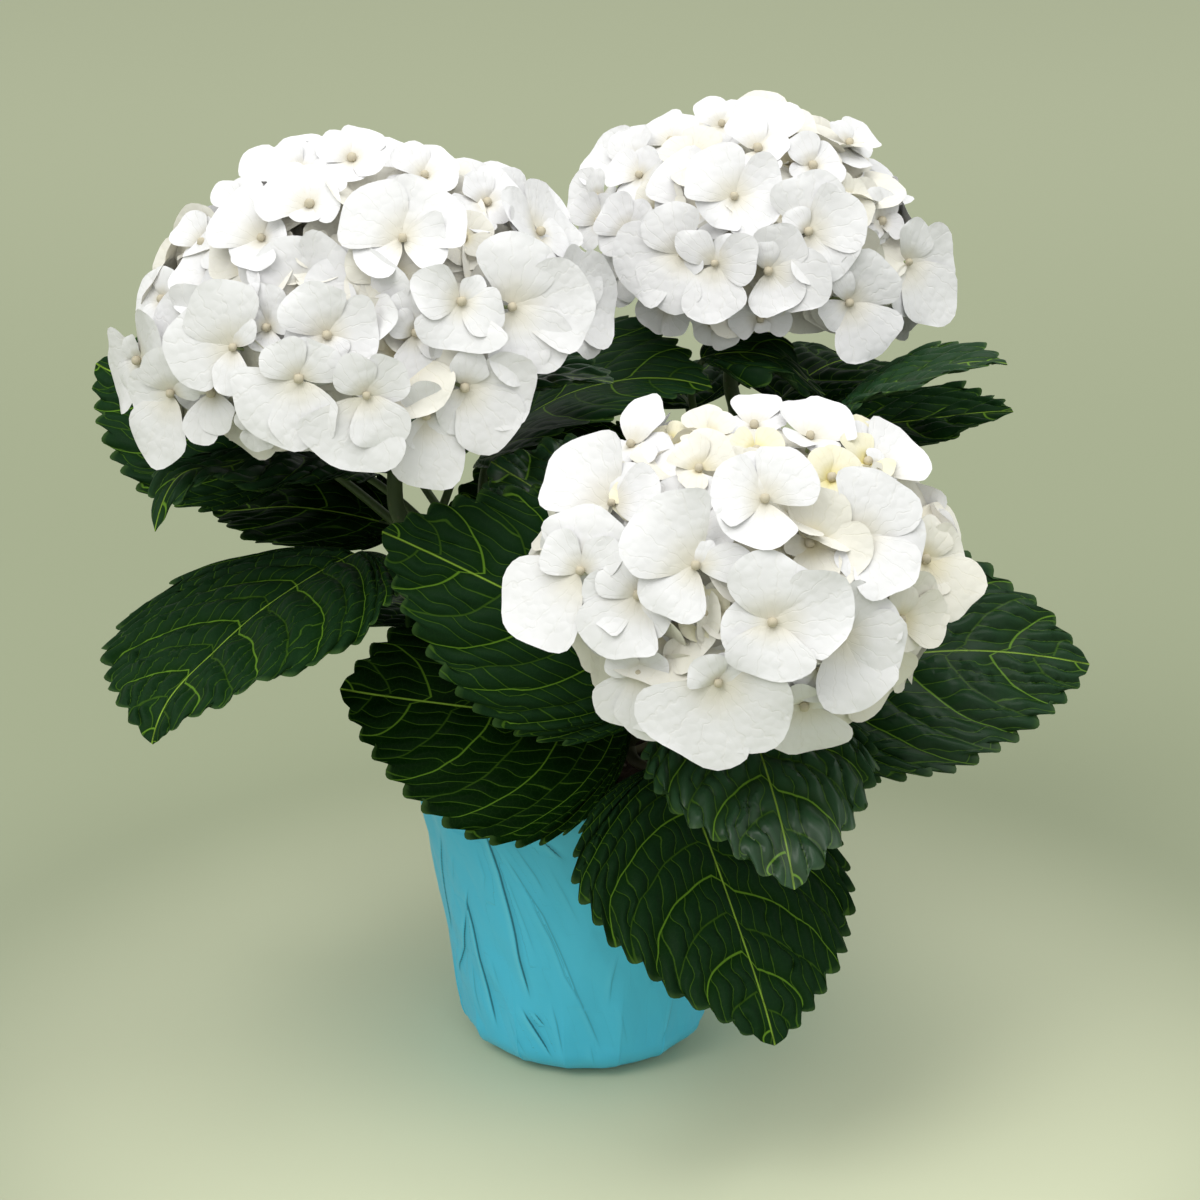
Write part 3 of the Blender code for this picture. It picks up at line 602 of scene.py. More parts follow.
def bezier(a, b, c, d, steps):
    """Points on a cubic curve: a (1-s)^3 + 3 b s (1-s)^2 + 3 c s^2 (1-s) + d s^3, with s going
    from 0 to 1 in even steps."""
    share = np.linspace(0, 1, steps)[..., None]
    rest = 1 - share
    return a * rest**3 + b * 3 * share * rest**2 + c * 3 * share**2 * rest + d * share**3


# ---- Pot, film and soil --------------------------------------------------------------------
def side_radius(height):
    """Outer radius of the film's straight side: FOOT + (RIM - FOOT) height / RIM_HEIGHT."""
    return FOOT_RADIUS + (RIM_RADIUS - FOOT_RADIUS) * height / RIM_HEIGHT


def rounded_foot(inset, steps):
    """Quarter circle round the lower edge of a cup that lies inset inside the film's face."""
    corner = FOOT_ROUND - inset
    turn = np.radians(90 * np.arange(steps + 1) / steps)
    middle = side_radius(FOOT_ROUND) - FOOT_ROUND
    return np.stack([middle + corner * np.cos(turn), FOOT_ROUND - corner * np.sin(turn)], -1)


def revolved(profile, shift, turns):
    """Points at (r cos a, r sin a, z) for each (r, z) of the profile, moved by the shift along
    the profile's own normal. The shift has one row per turn and one column per profile point.
    The ends of the profile stay on the axis."""
    slope = np.gradient(profile, axis=0)
    normal = unit(np.stack([slope[:, 1], -slope[:, 0]], -1))
    place = profile[None] + normal[None] * shift[..., None]
    place[:, [0, -1], 0] = 0.0
    place[:, [0, -1], 1] = profile[[0, -1], 1]
    a = turns[:, None]
    return np.stack([place[..., 0] * np.cos(a), place[..., 0] * np.sin(a), place[..., 1]], -1)


# The creases that lie nearest the front: how deep each is, then its line as bearings in
# degrees from +X with shares of the pot's height.
FRONT_CREASES = [
    (0.95, [(-113, 0.27), (-116, 0.43), (-117, 0.52), (-121, 0.74), (-126, 0.93)]),
    (0.80, [(-133, 0.11), (-136, 0.28), (-138, 0.44), (-140, 0.58), (-137, 0.66)]),
    (0.70, [(-164, 0.21), (-148, 0.39), (-140, 0.58)]),
    (1.00, [(-104, 0.06), (-113, 0.18), (-119, 0.27)]),
    (0.60, [(-107, 0.19), (-110, 0.22), (-113, 0.25)]),
    (0.85, [(-96, 0.82), (-101, 0.87), (-107, 0.92)]),
    (0.35, [(-81, 0.08), (-93, 0.33), (-105, 0.62), (-121, 0.86)]),
    (0.30, [(-90, 0.27), (-98, 0.40), (-103, 0.54), (-112, 0.72)]),
    (0.55, [(-162, 0.36), (-156, 0.62), (-150, 0.82)]),
    (0.30, [(-143, 0.12), (-145, 0.25), (-144, 0.38)]),
    (0.30, [(-54, 0.06), (-50, 0.18), (-49, 0.30)]),
    (0.30, [(-80, 0.26), (-79, 0.38), (-76, 0.50)]),
    (0.35, [(-99, 0.06), (-102, 0.21), (-105, 0.32)]),
    (0.30, [(-102, 0.66), (-107, 0.76), (-117, 0.90)]),
    (0.22, [(-127, 0.28), (-131, 0.42)]),
    (0.20, [(-121, 0.10), (-126, 0.22)]),
    (0.24, [(-108, 0.42), (-114, 0.60), (-120, 0.78)]),
    (0.22, [(-90, 0.55), (-97, 0.70), (-104, 0.84)]),
    (0.20, [(-70, 0.10), (-76, 0.30)]),
    (0.22, [(-60, 0.30), (-66, 0.46)]),
    (0.24, [(-85, 0.04), (-88, 0.15)]),
    (0.20, [(-148, 0.60), (-143, 0.76)]),
    (0.24, [(-117, 0.06), (-123, 0.15)]),
    (0.20, [(-130, 0.62), (-127, 0.72), (-131, 0.84)]),
]
CREASED_FRONT = (-168, -42)  # bearings between which only those creases lie
DRAWN_CREASES = 96  # how many are drawn round the rest

# The flats of the film: the slant, pitch, size and start of each row of them, laid out on the
# pot's mean radius. Round its foot it has that many sides.
FLATS = [
    (0.35, 0.017, 0.50, 0.1), (0.62, 0.026, 0.45, 0.6),
    (-0.20, 0.022, 0.35, 0.3), (1.30, 0.034, 0.40, 0.8),
]
MEAN_RADIUS = 0.058
FOOT_SIDES = 15


def creases():
    """The depth and the line of each crease: those above, and others drawn by a seed round the
    rest of the pot. Each of these runs over a part of the height with two slight kinks, and
    most of them turn clockwise on their way up."""
    rng = np.random.default_rng(5)
    found = [(depth, np.array(line, float)) for depth, line in FRONT_CREASES]
    for k in range(DRAWN_CREASES):
        low = rng.uniform(-0.1, 0.8)
        reach = rng.uniform(0.5, 0.9) if k % 3 == 0 else rng.uniform(0.14, 0.34)
        shares = low + reach * np.array([0.0, 0.35, 0.7, 1.0])
        bearing = rng.uniform(0, 360) - (shares - low) * rng.uniform(-18, 60)
        bearing = bearing + rng.uniform(-1.6, 1.6, 4)
        depth = rng.uniform(0.3, 1.0) if k % 2 else rng.uniform(0.15, 0.4)
        turned = np.mod(bearing + 180, 360) - 180
        if turned.min() > CREASED_FRONT[1] or turned.max() < CREASED_FRONT[0]:
            found.append((depth, np.stack([bearing, shares], -1)))
    return found


def film_relief(turns, height):
    """Lift of the film at each bearing and height, the distance x from the nearest crease,
    below 0 on the side that lies lower, and that crease's depth there. The lift is the sum of
    depth (CREASE exp(-x / width)) over each crease's upper side, of -0.3 mm depth
    exp(x / 3 mm) over its lower side, of a triangular wave of height 1 mm times its size for
    each row of flats, less 0.45 mm, and of a polygon round the foot,
    r (cos(half) / cos(angle from the side's middle) - cos(half)), half being half the angle
    of that side. The polygon fades out at 0.42 of the height."""
    radius = side_radius(height)
    shape = np.broadcast(turns, height).shape
    lift = np.zeros(shape)
    away, depth = np.full(shape, 0.02), np.zeros(shape)
    share = height / RIM_HEIGHT
    rng = np.random.default_rng(8)
    for deep, line in creases():
        low, high = line[0, 1], line[-1, 1]
        centre = np.radians(np.interp(share, line[:, 1], line[:, 0]))
        lap = rng.choice([-1.0, 1.0])
        lap = -1.0 if CREASED_FRONT[0] < line[0, 0] < CREASED_FRONT[1] else lap
        x = (np.mod(turns - centre + np.pi, 2 * np.pi) - np.pi) * radius * lap
        fade = min(0.4 * (high - low), 0.12)
        there = smooth(share, low, low + fade) * smooth(share, high, high - fade) * deep
        there = np.where((share >= low) & (share <= high), there, 0.0)
        climb = smooth(x, -0.0005, 0.0005)
        width = rng.uniform(0.003, 0.008)
        lift += there * CREASE * climb * np.exp(-np.maximum(x, 0) / width)
        lift -= there * 0.0003 * (1 - climb) * np.exp(np.minimum(x, 0) / 0.003)
        nearer = (np.abs(x) < np.abs(away)) & (there > 0.0)
        away, depth = np.where(nearer, x, away), np.where(nearer, there, depth)
    for slant, pitch, size, start in FLATS:
        count = round(2 * np.pi * MEAN_RADIUS / pitch)
        x = count * turns / (2 * np.pi) + slant * height / pitch + start
        lift += 0.001 * size * np.abs(2 * (x - np.floor(x + 0.5)))
    lift -= 0.00045
    ends = np.cumsum(rng.uniform(0.75, 1.3, FOOT_SIDES))
    ends = np.concatenate([[0.0], ends / ends[-1] * 2 * np.pi])
    side = np.clip(np.searchsorted(ends, turns, side="right") - 1, 0, FOOT_SIDES - 1)
    half = (ends[side + 1] - ends[side]) / 2
    flat = np.cos(half) / np.cos(turns - ends[side] - half)
    lift += (flat - np.cos(half)) * radius * smooth(share, 0.42, 0.02)
    return lift, away, depth


def film_piece():
    """The film cover: a creased cup with an outer and an inner face, drawn in at its foot and
    a little uneven along its rim."""
    foot = rounded_foot(0.0, 10)[::-1]
    under = np.stack([np.linspace(0, foot[0, 0], 7)[:-1], np.zeros(6)], -1)
    z = np.linspace(FOOT_ROUND, RIM_HEIGHT - 0.0012, 78)[1:]
    side = np.stack([side_radius(z), z], -1)
    edge = RIM_HEIGHT - 0.0004 + 0.0004 * np.sin(np.radians([30, 90, 150]))
    lip = np.stack([side_radius(RIM_HEIGHT) - FILM * np.array([0.15, 0.5, 0.85]), edge], -1)
    inner = np.stack([side_radius(z[::-8]) - FILM, z[::-8]], -1)
    outer = np.vstack([under, foot, side])
    profile = np.vstack([outer, lip, inner, rounded_foot(FILM, 6), [[0.0, FILM]]])
    turns = np.linspace(0, 2 * np.pi, 781)
    height = profile[:, 1]
    lift, away, depth = film_relief(turns[:, None], height[None])
    raised = smooth(height, 0.0004, 0.008) * (np.arange(len(profile)) < len(outer) + 3)
    lift = np.maximum(lift, -0.0002) * raised
    points = revolved(profile, lift, turns)
    piece = Piece("film_cover", [film_paint()], ["crease"])
    crease = np.stack([away, depth * (raised > 0)], -1)
    piece.add(points, grid(*points.shape[:2])[:, ::-1], crease=crease)
    return piece.made("film", ["pot_film"])


def soil_piece():
    """The soil block. Its surface heaves by 1.3, 1.1 and 0.7 mm times smooth noise of 14, 5
    and 2.1 mm, less 0.4 mm, and not above its own level at the wall."""
    inset = FILM + POT_WALL + 2 * GAP
    rim = side_radius(SOIL_TOP) - inset
    r = np.linspace(0, rim, 56)
    top = np.stack([r, np.full(len(r), SOIL_TOP)], -1)
    profile = np.vstack([top, rounded_foot(inset, 4), [[0.0, inset]]])
    turns = np.linspace(0, 2 * np.pi, 241)
    a = turns[:, None]
    flat = np.stack([np.cos(a) * profile[:, 0], np.sin(a) * profile[:, 0]], -1)
    flat = np.concatenate([flat, np.zeros_like(flat[..., :1])], -1)
    heave = 0.0013 * wander(flat, 0.014, 21) + 0.0011 * wander(flat, 0.005, 22)
    heave += 0.0007 * wander(flat, 0.0021, 23) - 0.0004
    shape = np.arange(len(profile)) < len(r)
    heave = heave * shape * smooth(profile[:, 0], 0.0, 0.002)
    heave[:, len(r) - 1] = np.minimum(heave[:, len(r) - 1], 0)
    points = revolved(profile, np.zeros_like(heave), turns)
    points[..., 2] += heave
    piece = Piece("soil_surface", [soil_paint()])
    piece.add(points, grid(*points.shape[:2]))
    return piece.made("soil", ["soil"])


# ---- Stems ---------------------------------------------------------------------------------
def stem_line(stem, share):
    """The stem's centre line: foot (1-s)^2 + 2 bend s (1-s) + top s^2, with the bend set so
    that the line passes through its bowed middle."""
    share = np.asarray(share, float)[..., None]
    foot = np.array([*stem["foot"], SOIL_TOP + GAP])
    top = np.array(stem["top"])
    middle = (foot + top) / 2 + np.array([*stem["bow"], 0.0])
    bend = 2 * middle - (foot + top) / 2
    return foot * (1 - share) ** 2 + bend * 2 * share * (1 - share) + top * share**2


def stem_heading(stem, share):
    """The way the stem grows at that share of its height."""
    return unit(stem_line(stem, min(share + 0.01, 1.0)) - stem_line(stem, max(share - 0.01, 0.0)))


def stem_radius(share):
    """FOOT + (TOP - FOOT) share, times a flare of 1 + (FLARE - 1) (1 - share / 0.1)^2 over the
    lowest tenth."""
    flare = 1 + (FLARE - 1) * np.maximum(0.0, 1 - share / 0.10) ** 2
    return (STEM_FOOT_RADIUS + (STEM_TOP_RADIUS - STEM_FOOT_RADIUS) * share) * flare


def stems_piece(green):
    """Stems with a swelling of 0.8 mm exp(-(x / 0.022)^2) where each leaf's stalk leaves, x
    being the share of the height from there, and 0.2 mm of smooth noise."""
    piece = Piece("stems", [green])
    for name, stem in STEMS.items():
        share = np.linspace(0, 1, 60)
        joints = [leaf["node"] for leaf in LEAVES.values() if leaf["stem"] == name]
        swell = sum(np.exp(-(((share - node) / 0.022) ** 2)) for node in joints)
        path = stem_line(stem, share)
        path[0, 2] -= 0.002
        radius = stem_radius(share) + 0.0008 * np.minimum(swell, 1.2)
        radius = radius + 0.0002 * wander(path, 0.006, 31)
        piece.add(*tube(path, radius, 20))
    return piece.made("stem", ["stem_" + name for name in STEMS])


# ---- Leaves --------------------------------------------------------------------------------
def outline(q):
    """Half width of the blade as a share of its greatest: (q/p)^A ((1-q)/(1-p))^B, with p at
    A / (A + B)."""
    peak = WIDEST_A / (WIDEST_A + WIDEST_B)
    return (q / peak) ** WIDEST_A * ((1 - q) / (1 - peak)) ** WIDEST_B


def blade_place(u, t):
    """Where a side vein that ends u along the margin is, t of the way out from the midrib, as
    shares of the blade's length and half width: its foot is ((u - .3) / .7)^2 up the midrib,
    and it leans and bows towards the tip by t^1.5."""
    foot = np.maximum(0.0, (u - LATERAL_FOOT) / (1 - LATERAL_FOOT)) ** 2
    along = foot + (u - foot) * t**1.5
    bowed = np.clip((u - 0.3) / 0.3, 0, 1)
    out = (1 - bowed) * t + bowed * (1 - (1 - t) ** 1.6)
    return along, outline(u) * out


def leaf_axes(leaf):
    """Base, length and unit axes of a blade: along it, to its right, and up from it."""
    base, tip = np.array(leaf["base"]), np.array(leaf["tip"])
    length = float(np.linalg.norm(tip - base))
    along = (tip - base) / length
    right = unit(np.cross(along, (0.0, 0.0, 1.0)))
    up = np.cross(right, along)
    roll = math.radians(leaf["roll"])
    turned = right * math.cos(roll) + up * math.sin(roll)
    return base, length, along, turned, up * math.cos(roll) - right * math.sin(roll)


def midrib_rise(leaf, q):
    """The rise of the midrib as a share of the length, 4 arch q (1 - q) - 2.2 curl late^2
    (1 - late), late going from 0 to 1 over the last 0.45, and its slope."""
    arch, curl = leaf["arch"], leaf["curl"]
    late = np.maximum(0.0, q - 0.55) / 0.45
    rise = 4 * arch * q * (1 - q) - curl * late**2 * (1 - late) * 2.2
    slope = 4 * arch * (1 - 2 * q) - curl * (2 * late - 3 * late**2) * 2.2 / 0.45
    return rise, slope


def blade_points(leaf, q, out, side, lift):
    """base + q L along + rise L up + wide right + height normal, where wide is half out
    cos(fold) + 4 sweep L q (1 - q), and height is half (out sin(fold) - droop out^2) + lift,
    half being half the blade's width and L its length."""
    base, length, along, right, up = leaf_axes(leaf)
    rise, slope = midrib_rise(leaf, q)
    half = leaf["width"] / 2
    fold = math.radians(leaf["fold"])
    normal = (up - slope[..., None] * along) / np.sqrt(1 + slope**2)[..., None]
    wide = side * out * half * math.cos(fold)
    wide = wide + 4 * leaf["sweep"] * length * q * (1 - q)
    height = out * half * math.sin(fold) - leaf["droop"] * half * out**2 + lift
    return (
        base
        + (q * length)[..., None] * along
        + (rise * length)[..., None] * up
        + wide[..., None] * right
        + height[..., None] * normal
    )


def bulge(x):
    """0 on every whole number and 1 midway, with a sharp valley: 4 d (1 - d), where d is the
    distance from the nearest whole number."""
    d = np.abs(x - np.round(x))
    return 4 * d * (1 - d)


def tooth(x):
    """One tooth from each whole number to the next: a round lobe that leans to the tip of the
    leaf, with a narrow notch beside it: sin(pi p^1.5)^0.75."""
    p = x - np.floor(x)
    return np.abs(np.sin(np.pi * p**1.5)) ** 0.75


def blade_rows(leaf):
    """Where the side veins of a blade end along its margin, TOOTH_ROWS to a tooth and evenly
    spaced by length, then the same counted in teeth, and the length of the margin."""
    length, half = leaf_axes(leaf)[1], leaf["width"] / 2
    fine = np.linspace(0, 1, 400)
    q, out = blade_place(fine, np.ones(400))
    pace = np.hypot(np.diff(q * length), np.diff(out * half))
    run = np.concatenate([[0], np.cumsum(pace)])
    teeth = int(np.clip(2 * round(run[-1] / TOOTH_PITCH / 2), 10, 18))
    phase = np.arange(teeth * TOOTH_ROWS + 1) / TOOTH_ROWS
    u = np.interp(phase / teeth, run / run[-1], fine)
    return u[:, None], phase[:, None], run[-1]


def add_blade(piece, number, leaf):
    """The blade as a thin shell over side veins (rows) and distance out along them (columns).
    Its lift is QUILT strength (cushion - 0.4), the cushion being the product of the bulges
    between side veins, between those and the veins midway, and between rungs, less the
    midrib's groove GROOVE exp(-(x / 1.3 mm)^2), plus two sine waves of RUFFLE towards the
    margin, plus a swell of 0.9 mm on each tooth. The margin is drawn in by TOOTH_DEPTH in
    its notches. Underneath, the midrib stands out by SPINE exp(-(x / 1.1 mm)^2) and the side
    veins by SPUR (1 - bulge)^2."""
    length, half = leaf_axes(leaf)[1], leaf["width"] / 2
    u, phase, around = blade_rows(leaf)
    across = np.linspace(-1, 1, BLADE_COLUMNS)
    s = (np.sign(across) * np.abs(across) ** 0.92)[None, :]
    t, side = np.abs(s), np.sign(s)
    q, out = blade_place(u, t)
    rib = out * half
    plan = np.stack([side * rib, q * length, 0 * rib + number], -1)
    vein = phase * VEINS_PER_TOOTH + 0.12 * side
    vein = vein + (0.12 * wander(plan, 0.016, 41) + 0.07 * wander(plan, 0.007, 43)) * t
    ladder = rib + 0.0028 * wander(plan, 0.008, 42)
    rng = np.random.default_rng(900 + number)
    wave = rng.uniform(0, FULL_TURN, 3)
    inner = smooth(rib, 0.0, 0.006)
    rungs = ladder / RUNG + np.floor(2 * vein) * RUNG_SHIFT
    cushion = (0.35 + 0.65 * bulge(vein)) * (0.25 + 0.75 * bulge(2 * vein))
    cushion = cushion * (0.30 + 0.70 * bulge(rungs))
    strength = leaf["quilt"] * smooth(u, 0.12, 0.50) * min(1.0, around / 0.11)
    lift = QUILT * strength * (cushion - 0.4) * inner * (1 - 0.75 * t**5)
    lift = lift - GROOVE * np.exp(-((rib / 0.0013) ** 2)) * smooth(q, 1.0, 0.5)
    spread = smooth(t, 0.25, 1.0) * smooth(u, 0.0, 0.25) * smooth(u, 1.02, 0.8)
    ruffle = np.sin(phase * 2.1 + wave[0] + side) + 0.7 * np.sin(phase * 1.17 + wave[1] * side)
    lift = lift + leaf["ruffle"] * RUFFLE * ruffle * spread
    shape = tooth(phase)
    lift = lift + 0.0009 * strength * (shape - 0.6) * t**5 * spread
    edge = t**12 * smooth(u, 0.02, 0.12) * smooth(u, 1.0, 0.93) * min(1.0, half / 0.035)
    out = out + edge * (shape - 1) * TOOTH_DEPTH / half
    q = q + edge * (shape - 0.5) * 0.0026 / length
    thick = BLADE / 2 * (1 - t**14)
    spine = SPINE * np.exp(-((rib / 0.0011) ** 2)) * smooth(q, 1.0, 0.1)
    spur = SPUR * (1 - bulge(vein)) ** 2 * inner * (1 - t) * smooth(u, 0.05, 0.2)
    top = blade_points(leaf, q, out, side, lift + thick)
    below = blade_points(leaf, q, out, side, lift - thick - spine - spur)
    faces = grid(*q.shape)
    veins = np.stack([vein, ladder], -1)
    blade = np.stack([side * rib, q * length + number * 0.35], -1)
    margin = np.stack([t + 0 * u, np.full(q.shape, min(1.0, leaf["quilt"]))], -1)
    # The leaf's share of painted light (a painted sheen), drawn at random where its row has a dash.
    drawn = rng.uniform(0.0, 0.45)
    tone = np.full(q.shape, drawn if math.isnan(leaf["tone"]) else leaf["tone"])
    for points, turned, under in ((top, faces[:, ::-1], 0.0), (below, faces, 1.0)):
        numbers = np.stack([tone, np.full(q.shape, under)], -1)
        piece.add(points, turned, veins=veins, blade=blade, tone=numbers, margin=margin)


def leaf_stalk(leaf):
    """Centre line and radii of a leaf's stalk: it leaves its stem squarely and runs in under
    the blade's midrib, thinning by a third."""
    stem = STEMS[leaf["stem"]]
    node = stem_line(stem, leaf["node"])
    trunk = stem_heading(stem, leaf["node"])
    base, length, along, _, up = leaf_axes(leaf)
    out = unit((base - node) - trunk * ((base - node) @ trunk))
    foot = node + out * (stem_radius(leaf["node"]) + NODE_GAP)
    rib = unit(along + midrib_rise(leaf, np.array(0.0))[1] * up)
    end = base + rib * 0.12 * length
    reach = np.linalg.norm(end - foot)
    share = np.linspace(0, 1, 18)
    path = bezier(foot, foot + out * reach * 0.30, end - rib * reach * 0.40, end, len(share))
    path = path - np.outer(share**3, unit(up)) * 0.0010
    path = np.vstack([node + out * (stem_radius(leaf["node"]) - 0.0012), path])
    share = np.concatenate([[0.0], share])
    radius = STALK_RADIUS * (1 - 0.35 * share) * (1 + 0.35 * np.exp(-share / 0.05))
    radius = radius * np.where(share > 0.93, 0.75, 1.0)
    return path, radius * min(1.0, 0.55 + leaf["width"] * 5.5)


def leaf_pieces(green):
    """One piece of blades for each stem, and one of all their stalks."""
    paint = leaf_paint()
    stalks = Piece("leaf_stalks", [green])
    for name in STEMS:
        piece = Piece("leaves_" + name, [paint], ["veins", "blade", "tone", "margin"])
        own = [(n, key) for n, key in enumerate(LEAVES) if LEAVES[key]["stem"] == name]
        for number, key in own:
            add_blade(piece, number, LEAVES[key])
            stalks.add(*tube(*leaf_stalk(LEAVES[key]), 12))
        piece.made("leaf", ["leaf_" + key for _, key in own])
    stalks.made("stem")


